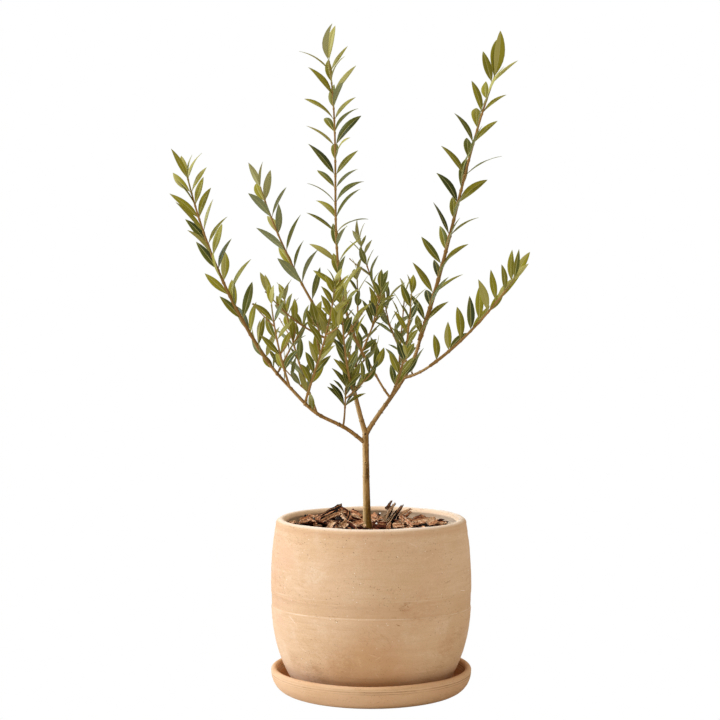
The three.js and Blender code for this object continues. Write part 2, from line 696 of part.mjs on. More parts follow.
for (const bough of boughs) {
  addMesh(bough.name, geometryOf(stemOf.get(bough.name).solid), bark);
}
for (const mass of masses) {
  const others = [...stemOf.entries()].filter(([name]) => name !== mass.name).map(([, stem]) => stem.solid);
  const solid = growMass(mass, others);
  stemOf.get(mass.name).solid = solid;
  addMesh(mass.name, geometryOf(solid), foliage);
}

export default part;
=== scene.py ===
"""A young olive tree in a barrel-shaped terracotta pot, standing in its matching saucer.

The plant is grown by the same seeded rule as the part's solids, with the same sizes in millimetres,
and carried on to finer twigs. Every mesh is made in millimetres and stored in metres.
"""

import json
import math

import bpy
import numpy as np
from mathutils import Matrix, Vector, kdtree, noise
from mathutils.bvhtree import BVHTree

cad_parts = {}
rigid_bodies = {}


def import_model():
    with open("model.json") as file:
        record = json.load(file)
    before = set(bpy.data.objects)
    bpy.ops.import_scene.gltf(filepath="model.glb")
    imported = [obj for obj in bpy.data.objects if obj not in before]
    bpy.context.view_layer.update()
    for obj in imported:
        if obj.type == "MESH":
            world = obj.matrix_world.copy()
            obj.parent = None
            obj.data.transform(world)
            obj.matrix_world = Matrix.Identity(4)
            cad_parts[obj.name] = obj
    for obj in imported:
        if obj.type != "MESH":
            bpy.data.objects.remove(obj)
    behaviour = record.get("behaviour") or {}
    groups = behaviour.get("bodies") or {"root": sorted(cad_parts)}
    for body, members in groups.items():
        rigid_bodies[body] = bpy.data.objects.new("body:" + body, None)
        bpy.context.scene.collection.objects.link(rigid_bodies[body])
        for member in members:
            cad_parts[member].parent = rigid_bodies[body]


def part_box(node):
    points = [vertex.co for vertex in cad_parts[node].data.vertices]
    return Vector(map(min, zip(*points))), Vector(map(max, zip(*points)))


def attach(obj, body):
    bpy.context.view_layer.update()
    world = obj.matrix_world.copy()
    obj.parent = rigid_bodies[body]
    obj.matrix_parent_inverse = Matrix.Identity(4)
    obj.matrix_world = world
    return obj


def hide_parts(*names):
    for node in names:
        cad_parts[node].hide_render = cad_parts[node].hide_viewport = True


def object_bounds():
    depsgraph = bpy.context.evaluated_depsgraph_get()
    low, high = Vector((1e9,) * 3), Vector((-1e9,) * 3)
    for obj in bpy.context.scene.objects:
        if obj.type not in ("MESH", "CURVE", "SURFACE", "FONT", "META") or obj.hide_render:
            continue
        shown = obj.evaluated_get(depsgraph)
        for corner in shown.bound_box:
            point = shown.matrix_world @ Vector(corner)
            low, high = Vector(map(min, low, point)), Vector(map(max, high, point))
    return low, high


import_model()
cad_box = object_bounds()

MM = 0.001
UP = np.array([0.0, 0.0, 1.0])
DEPTH = np.array([0.0, 1.0, 0.0])


# ---------------------------------------------------------------- numbers


def mix(a, b, t):
    return a + (b - a) * t


def clamp(x, low=0.0, high=1.0):
    return max(low, min(high, x))


def ease(t):
    t = clamp(t)
    return t * t * (3 - 2 * t)


def seeded(seed):
    """The same repeatable stream of numbers from 0 to 1 as the part's source has."""
    state = [seed & 0xFFFFFFFF]

    def draw():
        state[0] = (state[0] * 1664525 + 1013904223) & 0xFFFFFFFF
        return state[0] / 4294967296

    return draw


def unit(v):
    return v / np.linalg.norm(v)


def rotate(v, axis, angle):
    c, s = math.cos(angle), math.sin(angle)
    return v * c + np.cross(axis, v) * s + axis * np.dot(axis, v) * (1 - c)


def wave(x, y, z):
    """Smooth noise from about -1 to 1."""
    return noise.noise(Vector((x, y, z)))


def node_box(name):
    """A CAD node's lowest and highest corners in millimetres."""
    low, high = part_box(name)
    return np.array(low) / MM, np.array(high) / MM


# ---------------------------------------------------------------- sizes of the pot and saucer

SAUCER = dict(height=31.5, foot=109, belly=130.6, wall=126.6, lip=4, inner=117, floor=8)
POT = dict(base=8.3, height=225, belly_radius=130.6, belly_height=137, base_radius=99.5, base_power=2.7,
           heel=4, lip_centre=117.4, lip=6.6, wall=12.5, floor=12)
LIP_HEIGHT = POT["height"] - POT["lip"]
# A shallow band is pressed in round the pot between two drawn lines. The lower line's height changes
# round the pot with x, y and x squared, as shares of the belly's radius.
BAND = dict(low=110.8, high=132, rise_x=-0.6, rise_y=-4, rise_xx=-0.2, depth=0.95, ledge=0.8, fade=7,
            line=0.45)


# ---------------------------------------------------------------- materials

# The share of a smear's reach that it fills whole, and how deep a scratch reaches into the clay.
NEAR_CORE = 0.35
STROKE_DEPTH = 12


def enabled_socket(sockets, name):
    return next(s for s in sockets if s.name == name and s.enabled)


class Shader:
    """A material with short calls for the nodes that it needs."""

    def __init__(self, name, roughness=0.8, specular=0.3):
        self.material = bpy.data.materials.new(name)
        self.material.use_nodes = True
        self.tree = self.material.node_tree
        self.out = self.tree.nodes["Principled BSDF"]
        self.out.inputs["Roughness"].default_value = roughness
        self.out.inputs["Specular IOR Level"].default_value = specular
        self.place = self.node("ShaderNodeTexCoord").outputs["Object"]

    def node(self, kind, inputs=None, **settings):
        """A node with its settings, and with a number or a link for each input named."""
        made = self.tree.nodes.new(kind)
        for key, value in settings.items():
            setattr(made, key, value)
        for key, value in (inputs or {}).items():
            if isinstance(value, bpy.types.NodeSocket):
                self.link(value, made.inputs[key])
            else:
                made.inputs[key].default_value = value
        return made

    def link(self, source, target):
        self.tree.links.new(source, target)

    def scaled(self, scale):
        return self.node("ShaderNodeMapping", {"Vector": self.place, "Scale": scale}).outputs["Vector"]

    def noise(self, scale, detail=3.0, roughness=0.55, place=None, distortion=0.0):
        inputs = {"Vector": place or self.place, "Scale": scale, "Detail": detail,
                  "Roughness": roughness, "Distortion": distortion}
        return self.node("ShaderNodeTexNoise", inputs).outputs["Fac"]

    def voronoi(self, scale, place=None):
        inputs = {"Vector": place or self.place, "Scale": scale}
        return self.node("ShaderNodeTexVoronoi", inputs).outputs["Distance"]

    def turned(self, x, y, z, scale):
        """The place turned by angles in degrees and then scaled."""
        inputs = {"Vector": self.place, "Rotation": [math.radians(v) for v in (x, y, z)],
                  "Scale": [1 / v for v in scale]}
        return self.node("ShaderNodeMapping", inputs, vector_type="TEXTURE").outputs["Vector"]

    def contour(self, scale, place, width):
        """Thin wandering lines: where a noise crosses its middle value."""
        off = self.maths("ABSOLUTE", self.maths("SUBTRACT", self.noise(scale, 3, 0.6, place), 0.5), 0)
        return self.ramp(off, [(0.0, 1.0), (width, 0.0)])

    def axis(self, letter):
        """One coordinate of the place, in metres."""
        return self.node("ShaderNodeSeparateXYZ", {"Vector": self.place}).outputs[letter]

    def height(self, low, high):
        """0 at one height and 1 at another, both in millimetres."""
        inputs = {"Value": self.axis("Z"), "From Min": low * MM, "From Max": high * MM}
        return self.node("ShaderNodeMapRange", inputs).outputs["Result"]

    def ramp(self, value, stops):
        """A smooth step of a value through (position, number or colour) stops."""
        made = self.node("ShaderNodeValToRGB")
        ramp = made.color_ramp
        while len(ramp.elements) < len(stops):
            ramp.elements.new(1)
        for element, (at, shade) in zip(ramp.elements, stops):
            element.position = at
            element.color = (*shade, 1) if isinstance(shade, tuple) else (shade, shade, shade, 1)
        self.link(value, made.inputs["Fac"])
        return made.outputs["Color"]

    def mixed(self, factor, a, b, blend="MIX"):
        made = self.node("ShaderNodeMix", data_type="RGBA", blend_type=blend)
        for name, value in (("Factor", factor), ("A", a), ("B", b)):
            socket = enabled_socket(made.inputs, name)
            if isinstance(value, tuple):
                socket.default_value = (*value, 1)
            elif isinstance(value, float):
                socket.default_value = value
            else:
                self.link(value, socket)
        return enabled_socket(made.outputs, "Result")

    def maths(self, operation, a, b):
        made = self.node("ShaderNodeMath", operation=operation)
        for socket, value in zip(made.inputs, (a, b)):
            if isinstance(value, (int, float)):
                socket.default_value = value
            else:
                self.link(value, socket)
        return made.outputs["Value"]

    def times(self, a, b):
        return self.maths("MULTIPLY", a, b)

    def over(self, base, mask, *shade):
        """A screen colour laid over the base where the mask is 1."""
        return self.mixed(mask, base, srgb(*shade))

    def above_band_line(self):
        """0.5 on the lower line of the pot's band and 0.01 more for each millimetre above it."""
        x, y, z = (self.times(self.axis(letter), 1 / MM) for letter in "XYZ")
        x, y = (self.times(v, 1 / POT["belly_radius"]) for v in (x, y))
        line = self.maths("ADD", self.times(y, BAND["rise_y"]), BAND["low"])
        line = self.maths("ADD", line, self.times(x, BAND["rise_x"]))
        line = self.maths("ADD", line, self.times(self.times(x, x), BAND["rise_xx"]))
        return self.maths("ADD", self.times(self.maths("SUBTRACT", z, line), 0.01), 0.5)

    def near(self, centre, reach):
        """1 at a point, falling to 0 at a reach, both in millimetres."""
        points = {0: self.place, 1: tuple(c * MM for c in centre)}
        gap = self.node("ShaderNodeVectorMath", points, operation="DISTANCE").outputs["Value"]
        inputs = {"Value": gap, "From Min": reach * MM, "From Max": NEAR_CORE * reach * MM}
        return self.node("ShaderNodeMapRange", inputs, interpolation_type="SMOOTHSTEP").outputs["Result"]

    def stroke(self, centre, half_length, half_width, tilt):
        """1 on a short scratch that faces the front, tilted from level by an angle in degrees."""
        inputs = {"Vector": self.place, "Location": [c * MM for c in centre],
                  "Rotation": (0, math.radians(-tilt), 0),
                  "Scale": (half_length * MM, STROKE_DEPTH * MM, half_width * MM)}
        near = self.node("ShaderNodeMapping", inputs, vector_type="TEXTURE").outputs["Vector"]
        size = self.node("ShaderNodeVectorMath", {0: near}, operation="LENGTH").outputs["Value"]
        return self.ramp(size, [(0.55, 1.0), (1.0, 0.0)])

    def colour(self, value):
        if isinstance(value, tuple):
            self.out.inputs["Base Color"].default_value = (*value, 1)
        else:
            self.link(value, self.out.inputs["Base Color"])

    def roughness(self, value):
        self.link(value, self.out.inputs["Roughness"])

    def bump(self, height, strength, distance):
        """Adds relief of `distance` metres. Calls stack."""
        made = self.node("ShaderNodeBump", {"Height": height, "Strength": strength, "Distance": distance})
        if self.out.inputs["Normal"].is_linked:
            self.link(self.out.inputs["Normal"].links[0].from_socket, made.inputs["Normal"])
        self.link(made.outputs["Normal"], self.out.inputs["Normal"])


def srgb(red, green, blue):
    """A colour given as it looks on a screen, 0 to 255, in the shader's linear numbers."""
    shades = (c / 255 for c in (red, green, blue))
    return tuple(c / 12.92 if c <= 0.04045 else ((c + 0.055) / 1.055) ** 2.4 for c in shades)


# Smears on the pot's clay: centre in millimetres, reach, colour and strength.
CLAY_SMEARS = [
    ((42, -122, 129), 11, (164, 112, 68), 0.6),
    ((58, -116, 126), 34, (190, 142, 104), 0.5),
    ((8, -126, 110), 30, (212, 168, 132), 0.4),
    ((-34, -112, 58), 26, (168, 118, 72), 0.45),
    ((-66, -88, 40), 24, (150, 104, 62), 0.5),
    ((-92, -70, 52), 20, (172, 128, 86), 0.45),
    ((-70, -110, 168), 22, (236, 212, 186), 0.4),
    ((96, -80, 74), 26, (180, 130, 86), 0.4),
]

# Scratches on it: centre, half length, half width, tilt in degrees, colour and strength. A separate
# program worked out most of the centres, half lengths and tilts.
CLAY_SCRATCHES = [
    ((41, -124, 131), 6, 0.9, 23, (150, 96, 52), 0.9),
    ((41, -124, 126), 5, 0.7, 23, (158, 104, 60), 0.8),
    ((45, -123, 130), 3, 0.7, -60, (150, 96, 52), 0.8),
    ((97, -87, 155), 4, 0.8, 11, (152, 100, 58), 0.9),
    ((10, -129, 199), 5.5, 0.7, -4, (164, 114, 72), 0.8),
    ((116, -58, 139), 7, 0.5, -20, (240, 220, 196), 0.8),
    ((72, -107, 189), 11, 0.6, 19, (228, 198, 164), 0.6),
    ((-122, -46, 149), 7, 0.9, 84, (190, 140, 98), 0.7),
    ((34, -126, 107), 4.5, 0.7, -23, (158, 106, 64), 0.85),
    ((3, -125, 69), 9, 0.6, -20, (232, 202, 166), 0.4),
    ((9, -125, 66), 6, 0.6, 30, (232, 202, 166), 0.4),
    ((-99, -84, 106), 11, 0.6, -45, (246, 222, 194), 0.6),
    ((-85, -92, 70), 6, 0.6, -35, (244, 218, 188), 0.6),
    ((-14, -123, 60), 9, 1.6, -72, (214, 176, 134), 0.45),
    ((8, -117, 42), 5, 0.7, -52, (236, 208, 176), 0.45),
    ((-91, -88, 202), 10, 0.7, 4, (176, 128, 86), 0.6),
    ((52, -118, 205), 9, 1.0, -32, (226, 196, 164), 0.5),
    ((-37, -122, 86), 16, 1.6, 84, (208, 166, 124), 0.5),
    ((-19, -127, 92), 11, 1.5, 78, (212, 172, 130), 0.45),
    ((-52, -116, 88), 15, 1.4, 80, (206, 166, 124), 0.4),
    ((-66, -104, 104), 9, 0.7, -30, (240, 212, 180), 0.5),
]


def clay_material(name, banded=False, tint=None, strength=0.6, grooves=()):
    """Matte buff clay: broad patches, fine throwing lines, pits, white grit and a powdery bloom. A pot's
    wall is `banded` by its drawn lines, with painted shade in the band and below the lip and painted
    highlights on the band's lines and the lip's crest; a `tint` takes over a share of the colour; and
    `grooves` darken rings at the heights given as painted shade, with a painted highlight above each."""
    s = Shader(name, roughness=0.86, specular=0.16)
    buff, tan, rose = srgb(221, 187, 152), srgb(209, 171, 131), srgb(214, 170, 138)
    patches = s.ramp(s.noise(8, 3, 0.5), [(0.34, 0.0), (0.68, 1.0)])
    base = s.mixed(patches, buff, tan)
    rosy = s.ramp(s.noise(13, 3, 0.5, s.scaled((1, 1, 1.6))), [(0.5, 0.0), (0.75, 0.6)])
    base = s.mixed(rosy, base, rose)
    streaks = s.ramp(s.noise(22, 5, 0.65, s.scaled((1, 1, 7))), [(0.38, 0.0), (0.72, 0.26)])
    base = s.over(base, streaks, 188, 146, 103)
    lines = s.noise(34, 4, 0.6, s.scaled((0.5, 0.5, 16)))
    base = s.over(base, s.ramp(lines, [(0.3, 0.3), (0.42, 0.0)]), 178, 134, 92)
    base = s.over(base, s.ramp(lines, [(0.6, 0.0), (0.74, 0.3)]), 238, 212, 180)
    scrapes = s.contour(26, s.turned(0, 38, 0, (1, 1, 6)), 0.012)
    scraped = s.ramp(s.noise(15, 2, 0.5, s.scaled((1, 1, 1.2))), [(0.52, 0.0), (0.62, 0.55)])
    base = s.over(base, s.times(scrapes, scraped), 166, 120, 76)
    bloom = s.ramp(s.noise(40, 6, 0.7), [(0.52, 0.0), (0.78, 0.42)])
    base = s.over(base, bloom, 232, 208, 180)
    grain = s.noise(900, 4, 0.6)
    base = s.over(base, s.ramp(grain, [(0.3, 0.4), (0.6, 0.0)]), 182, 138, 94)
    grit = s.ramp(s.voronoi(150), [(0.05, 0.85), (0.1, 0.0)])
    sparse = s.ramp(s.noise(26, 3, 0.6), [(0.44, 0.0), (0.56, 1.0)])
    base = s.over(base, s.times(grit, sparse), 252, 242, 224)
    pits = s.ramp(s.voronoi(240, s.scaled((1.3, 0.9, 1.1))), [(0.07, 0.95), (0.16, 0.0)])
    pitted = s.ramp(s.noise(24, 3, 0.6, s.scaled((1, 1.2, 1))), [(0.46, 0.0), (0.56, 1.0)])
    if banded:
        pitted = s.maths("MAXIMUM", pitted, s.near((-62, -92, 40), 55))
    holes = s.times(pits, pitted)
    base = s.over(base, holes, 128, 84, 48)
    if banded:
        base = s.over(base, s.times(s.near((-6, -120, 40), 75), 0.5), 190, 140, 88)
        smear = s.noise(120, 5, 0.75, s.scaled((1, 1, 1.5)), distortion=1.2)
        smear = s.ramp(smear, [(0.44, 0.0), (0.56, 1.0)])
        scratch = s.contour(70, s.turned(0, -30, 0, (1, 1, 3)), 0.02)
        marks = s.maths("MAXIMUM", s.times(smear, 0.7), scratch)
        for centre, reach, shade, share in CLAY_SMEARS:
            mask = s.times(s.near(centre, reach), marks)
            base = s.over(base, s.times(mask, share), *shade)
        patchy = s.ramp(s.noise(420, 3, 0.7), [(0.42, 0.15), (0.56, 1.0)])
        for centre, half_length, half_width, tilt, shade, share in CLAY_SCRATCHES:
            mask = s.times(s.stroke(centre, half_length, half_width, tilt), patchy)
            base = s.over(base, s.times(mask, share), *shade)
        above = s.above_band_line()
        shaded = s.ramp(above, [(0.47, 0.0), (0.52, 0.26), (0.7, 0.2), (0.78, 0.0)])
        base = s.over(base, shaded, 190, 148, 106)
        # Painted highlight: a pale line along the band's lower line, where its ledge faces up, broken up by
        # noise.
        highlight_breakup = s.ramp(s.noise(30, 5, 0.75), [(0.4, 0.05), (0.64, 0.55)])
        painted_ledge_highlight = s.ramp(above, [(0.494, 0.0), (0.499, 1.0), (0.502, 1.0), (0.508, 0.0)])
        base = s.over(base, s.times(painted_ledge_highlight, highlight_breakup), 246, 224, 198)
        # Painted highlight: a fainter pale line along the band's upper line, broken up by noise.
        upper = s.ramp(above, [(0.708, 0.0), (0.714, 1.0), (0.718, 1.0), (0.726, 0.0)])
        faint = s.ramp(s.noise(19, 4, 0.7), [(0.46, 0.0), (0.64, 0.3)])
        base = s.over(base, s.times(upper, faint), 240, 216, 188)
        # Painted shade: a darker band from below the lip up over its rounded front.
        painted_lip_shade = s.ramp(s.height(LIP_HEIGHT - 10, LIP_HEIGHT + 6), [(0.2, 0.0), (0.55, 0.4), (0.85, 0.0)])
        base = s.over(base, painted_lip_shade, 196, 150, 112)
        # Painted highlight: a pale line along the top of the lip's crest.
        crest = s.ramp(s.height(LIP_HEIGHT + 3, LIP_HEIGHT + 6.5), [(0.0, 0.0), (1.0, 0.85)])
        base = s.over(base, crest, 246, 228, 208)
    if tint:
        base = s.over(base, strength, *tint)
    broken = s.ramp(s.noise(26, 4, 0.7), [(0.4, 0.25), (0.6, 1.0)])
    # Painted shade in each groove, broken up by noise, and a painted highlight on the ledge just above it.
    for at, wide in grooves:
        ring = s.ramp(s.height(at - 3 * wide, at + 3 * wide), [(0.3, 0.0), (0.5, 0.7), (0.62, 0.0)])
        base = s.over(base, s.times(ring, broken), 132, 92, 58)
        ledge = s.ramp(s.height(at - 3 * wide, at + 3 * wide), [(0.62, 0.0), (0.76, 0.5), (0.95, 0.0)])
        base = s.over(base, ledge, 228, 194, 156)
    s.colour(base)
    s.roughness(s.ramp(s.noise(120, 4), [(0.3, 0.78), (0.7, 0.96)]))
    s.bump(s.noise(380, 5, 0.65), 0.4, 0.0005)
    s.bump(s.noise(75, 4, 0.6, s.scaled((1, 1, 3))), 0.3, 0.0012)
    s.bump(lines, 0.3, 0.0007)
    s.bump(s.maths("SUBTRACT", 1.0, holes), 0.8, 0.0008)
    return s.material


def soil_material():
    s = Shader("soil", roughness=0.95, specular=0.1)
    tone = s.noise(160, 6, 0.7)
    s.colour(s.ramp(tone, [(0.3, srgb(6, 3, 2)), (0.55, srgb(20, 10, 7)), (0.75, srgb(62, 36, 24))]))
    s.roughness(s.ramp(tone, [(0.3, 0.85), (0.7, 1.0)]))
    s.bump(s.noise(420, 6, 0.7), 0.9, 0.0016)
    return s.material


def chip_material(name, dark, mid, light):
    """Split bark: fibres along no one axis, dark cracks and paler raised fibres."""
    s = Shader(name, roughness=0.88, specular=0.2)
    fibres = s.noise(240, 6, 0.72, s.scaled((1, 0.6, 2.2)), distortion=1.5)
    base = s.ramp(fibres, [(0.36, dark), (0.51, mid), (0.67, light)])
    cracks = s.ramp(s.noise(110, 4, 0.6, s.scaled((2.4, 1, 1)), distortion=2), [(0.36, 0.95), (0.46, 0.0)])
    s.colour(s.mixed(cracks, base, srgb(14, 6, 4)))
    s.roughness(s.ramp(fibres, [(0.3, 0.95), (0.7, 0.78)]))
    s.bump(fibres, 0.8, 0.0008)
    return s.material


# The way towards the light: the bark is painted paler where it faces this way, as a painted highlight, and
# darker where it faces away, as painted shade.
PAINTED_LIGHT_WAY = (-0.93, -0.1, 0.35)


def bark_material():
    """Young bark: olive khaki at the foot, tan above, warmer on the boughs, with pale flecks, and painted
    paler on its lit side and darker on its shaded side.
    """
    s = Shader("bark", roughness=0.75, specular=0.15)
    wobble = s.times(s.maths("SUBTRACT", s.noise(60, 3), 0.5), 0.05)
    rise = s.node("ShaderNodeMapRange", {
        "Value": s.maths("ADD", s.axis("Z"), wobble),
        "From Min": node_box("trunk")[0][2] * MM,
        "From Max": node_box("bough_third")[1][2] * MM,
    })
    base = s.ramp(rise.outputs["Result"], [
        (0.0, srgb(140, 104, 28)), (0.14, srgb(144, 104, 38)), (0.4, srgb(152, 108, 50)),
        (0.56, srgb(174, 132, 74)), (1.0, srgb(160, 118, 62)),
    ])
    streaks = s.noise(330, 5, 0.7, s.scaled((1, 1, 0.16)))
    base = s.over(base, s.ramp(streaks, [(0.36, 0.85), (0.56, 0.0)]), 78, 50, 14)
    base = s.over(base, s.ramp(streaks, [(0.54, 0.0), (0.72, 0.75)]), 194, 152, 92)
    patches = s.ramp(s.noise(120, 4, 0.6, s.scaled((1, 1, 0.5))), [(0.45, 0.0), (0.7, 0.55)])
    base = s.over(base, patches, 172, 132, 80)
    # Painted light: the bark is painted paler where it faces the light and darker on its shaded side, as
    # painted highlight and painted shade.
    normal = s.node("ShaderNodeNewGeometry").outputs["Normal"]
    dot = s.node("ShaderNodeVectorMath", {0: normal, 1: PAINTED_LIGHT_WAY}, operation="DOT_PRODUCT")
    painted_light_facing = s.maths("ADD", s.times(dot.outputs["Value"], 0.5), 0.5)
    base = s.over(base, s.ramp(painted_light_facing, [(0.56, 0.0), (0.9, 0.7)]), 216, 182, 130)
    base = s.over(base, s.ramp(painted_light_facing, [(0.12, 0.62), (0.46, 0.0)]), 78, 50, 14)
    flecks = s.ramp(s.voronoi(520, s.scaled((1, 1, 1.9))), [(0.12, 0.95), (0.23, 0.0)])
    some = s.ramp(s.noise(160, 2), [(0.5, 0.0), (0.57, 1.0)])
    s.colour(s.mixed(s.times(flecks, some), base, srgb(218, 188, 142)))
    s.roughness(s.ramp(streaks, [(0.3, 0.8), (0.7, 0.6)]))
    s.bump(streaks, 0.5, 0.0004)
    s.bump(s.noise(1500, 4, 0.6), 0.3, 0.00015)
    return s.material


def plain_material(name, colour, roughness, specular, relief=0.0, scale=900.0):
    """One base colour that has its place by spray, with fine relief."""
    s = Shader(name, roughness=roughness, specular=specular)
    s.colour(colour)
    if relief:
        s.bump(s.noise(scale, 3, 0.6), 0.4, relief)
    return s.material


CLAY = clay_material("clay_pot", banded=True)
CLAY_PALE = clay_material("clay_inside", tint=(242, 212, 178))
CLAY_SAUCER = clay_material("clay_saucer", tint=(206, 160, 114), strength=0.4,
                            grooves=[(24.6, 0.9), (21.9, 0.6)])
# Painted shade: the saucer's inside, under its lip and round the pot, is tinted a darker orange-brown.
CLAY_SAUCER_SHADE = clay_material("clay_saucer_shade", tint=(204, 142, 84))
SOIL = soil_material()
BARK = bark_material()
SCAR = plain_material("bark_scar", srgb(74, 50, 24), 0.9, 0.1, 0.0004)
CHIPS = [
    chip_material("chip_tan", srgb(78, 36, 20), srgb(188, 124, 82), srgb(246, 200, 154)),
    chip_material("chip_red", srgb(24, 8, 4), srgb(88, 36, 18), srgb(166, 96, 60)),
    chip_material("chip_dark", srgb(5, 2, 1), srgb(14, 6, 4), srgb(48, 23, 14)),
    chip_material("chip_pale", srgb(140, 84, 52), srgb(234, 188, 144), srgb(254, 234, 206)),
]
GRIT = plain_material("perlite", srgb(236, 232, 222), 0.9, 0.2, 0.0004)

LEAF_TOPS = [plain_material(name, srgb(*shade), roughness, specular) for name, shade, roughness, specular in (
    ("leaf_dark", (60, 66, 20), 0.46, 0.22),
    ("leaf_green", (90, 92, 26), 0.48, 0.2),
    ("leaf_olive", (118, 111, 27), 0.5, 0.18),
    ("leaf_gold", (141, 132, 32), 0.52, 0.18),
    ("leaf_young", (162, 152, 78), 0.54, 0.18),
)]
LEAF_UNDERS = [plain_material(name, srgb(*shade), roughness, 0.12) for name, shade, roughness in (
    ("under_grey", (130, 132, 90), 0.7),
    ("under_green", (114, 116, 60), 0.68),
    ("under_pale", (156, 150, 98), 0.7),
)]
LEAF_RIB = plain_material("leaf_rib", srgb(174, 166, 104), 0.6, 0.15)
LEAF_EDGE = plain_material("leaf_edge", srgb(156, 150, 84), 0.6, 0.15)
LEAF_MATERIALS = LEAF_TOPS + LEAF_UNDERS + [LEAF_RIB, LEAF_EDGE]
UNDER_SLOT = len(LEAF_TOPS)
RIB_SLOT = UNDER_SLOT + len(LEAF_UNDERS)
EDGE_SLOT = RIB_SLOT + 1

TWIG_MATERIALS = [plain_material(name, srgb(*shade), *rest) for name, shade, *rest in (
    ("twig_tan", (156, 120, 66), 0.75, 0.15, 0.0002),
    ("twig_brown", (138, 102, 52), 0.75, 0.15, 0.0002),
    ("twig_pale", (150, 112, 60), 0.72, 0.15, 0.0002),
    ("twig_green", (144, 124, 68), 0.68, 0.15, 0.0001),
    ("twig_bud", (108, 66, 34), 0.8, 0.1, 0.0002),
)]
PALE, GREEN, BUD = 2, 3, 4


# ---------------------------------------------------------------- meshes


class Build:
    """Collects vertices in millimetres and faces with their material slots."""

    def __init__(self):
        self.points = []
        self.faces = []
        self.slots = []
        self.count = 0

    def add(self, points, faces, slots):
        self.points.append(np.asarray(points, float).reshape(-1, 3))
        base = self.count
        self.faces.extend([[i + base for i in face] for face in faces])
        self.slots.extend(slots if isinstance(slots, list) else [slots] * len(faces))
        self.count += len(self.points[-1])

    def grid(self, rows, slots, close_round=True, cap_first=True, cap_last=True):
        """Rows of points joined by quads, closed round and capped at both ends."""
        rows = np.asarray(rows, float)
        steps, around = rows.shape[:2]
        faces, marks = [], []
        last = around if close_round else around - 1
        for i in range(steps - 1):
            for k in range(last):
                a, b = i * around + k, i * around + (k + 1) % around
                faces.append([a, b, b + around, a + around])
                marks.append(slots[i][k] if isinstance(slots, list) else slots)
        first_mark, last_mark = marks[0], marks[-1]
        if cap_first:
            faces.append(list(range(around))[::-1])
            marks.append(first_mark)
        if cap_last:
            faces.append([(steps - 1) * around + k for k in range(around)])
            marks.append(last_mark)
        self.add(rows.reshape(-1, 3), faces, marks)


def make_piece(name, build, materials, nodes=(), sharp=None):
    """A mesh piece that rides on the root body and stands for the named CAD nodes."""
    points = np.concatenate(build.points) * MM
    mesh = bpy.data.meshes.new(name)
    mesh.from_pydata(points.tolist(), [], build.faces)
    for material in materials:
        mesh.materials.append(material)
    mesh.polygons.foreach_set("material_index", build.slots)
    mesh.polygons.foreach_set("use_smooth", [True] * len(mesh.polygons))
    if sharp:
        mesh.set_sharp_from_angle(angle=math.radians(sharp))
    mesh.validate()
    piece = bpy.data.objects.new(name, mesh)
    bpy.context.scene.collection.objects.link(piece)
    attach(piece, "root")
    if nodes:
        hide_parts(*nodes)
    return piece


# ---------------------------------------------------------------- pot and saucer

POT_AROUND = 360
SAUCER_AROUND = 300


def pot_radius(height):
    """The outside radius of the barrel at a height, as in the source."""
    if height > POT["belly_height"]:
        rise = (height - POT["belly_height"]) / (LIP_HEIGHT - POT["belly_height"])
        return mix(POT["belly_radius"], POT["lip_centre"] + POT["lip"], rise**2)
    drop = (POT["belly_height"] - height) / (POT["belly_height"] - POT["base"])
    return mix(POT["belly_radius"], POT["base_radius"], drop ** POT["base_power"])


def arc(centre_x, centre_y, radius, start, end, steps):
    angles = np.radians(np.linspace(start, end, steps))
    return [(centre_x + radius * math.cos(a), centre_y + radius * math.sin(a)) for a in angles]


def groove(height, at, width):
    """1 in the middle of a line round the pot, falling off to each side."""
    return math.exp(-(((height - at) / width) ** 2))


COLLAR = dict(at=203, depth=0.4, width=2.6)


def band_low(x, y):
    """The height of the band's lower line, which runs highest at the front."""
    return BAND["low"] + BAND["rise_x"] * x + BAND["rise_y"] * y + BAND["rise_xx"] * x * x


def band_high(x, y):
    return BAND["high"] + 1.2 * wave(1.5 * x, 1.5 * y, 12)


def pot_relief(heading, height):
    """How far the hand-thrown wall stands off the true barrel, at most a little inwards."""
    turn = math.radians(heading)
    x, y = math.cos(turn), math.sin(turn)
    broad = 0.55 * wave(1.3 * x, 1.3 * y, height / 75)
    rings = 0.16 * wave(0.4 * x, 0.4 * y, height / 4.2) + 0.1 * wave(0.8 * x, 0.8 * y, height / 1.9 + 9)
    scraped = 0.12 * wave(9 * x + height / 30, 9 * y, height / 16)
    value = broad + rings + scraped - 0.55
    low, high = band_low(x, y), band_high(x, y)
    inside = ease((height - low) / BAND["ledge"]) * (1 - ease((height - high) / BAND["fade"] + 1))
    value -= BAND["depth"] * inside * (0.8 + 0.3 * wave(3 * x, 3 * y, 5))
    value -= BAND["line"] * groove(height, low - 0.4, 0.6) * (0.8 + 0.7 * wave(14 * x, 14 * y, 2))
    clear = 0.55 + 0.45 * max(0, -x)
    value -= BAND["line"] * clear * groove(height, high, 0.7) * (0.8 + 0.7 * wave(12 * x, 12 * y, 8))
    value -= COLLAR["depth"] * groove(height, COLLAR["at"] + 1.5 * wave(2 * x, 2 * y, 6), COLLAR["width"])
    chipped = wave(16 * x, 16 * y, height / 7.5 + 40)
    if chipped > 0.42:
        value -= 1.3 * (chipped - 0.42)
    return value


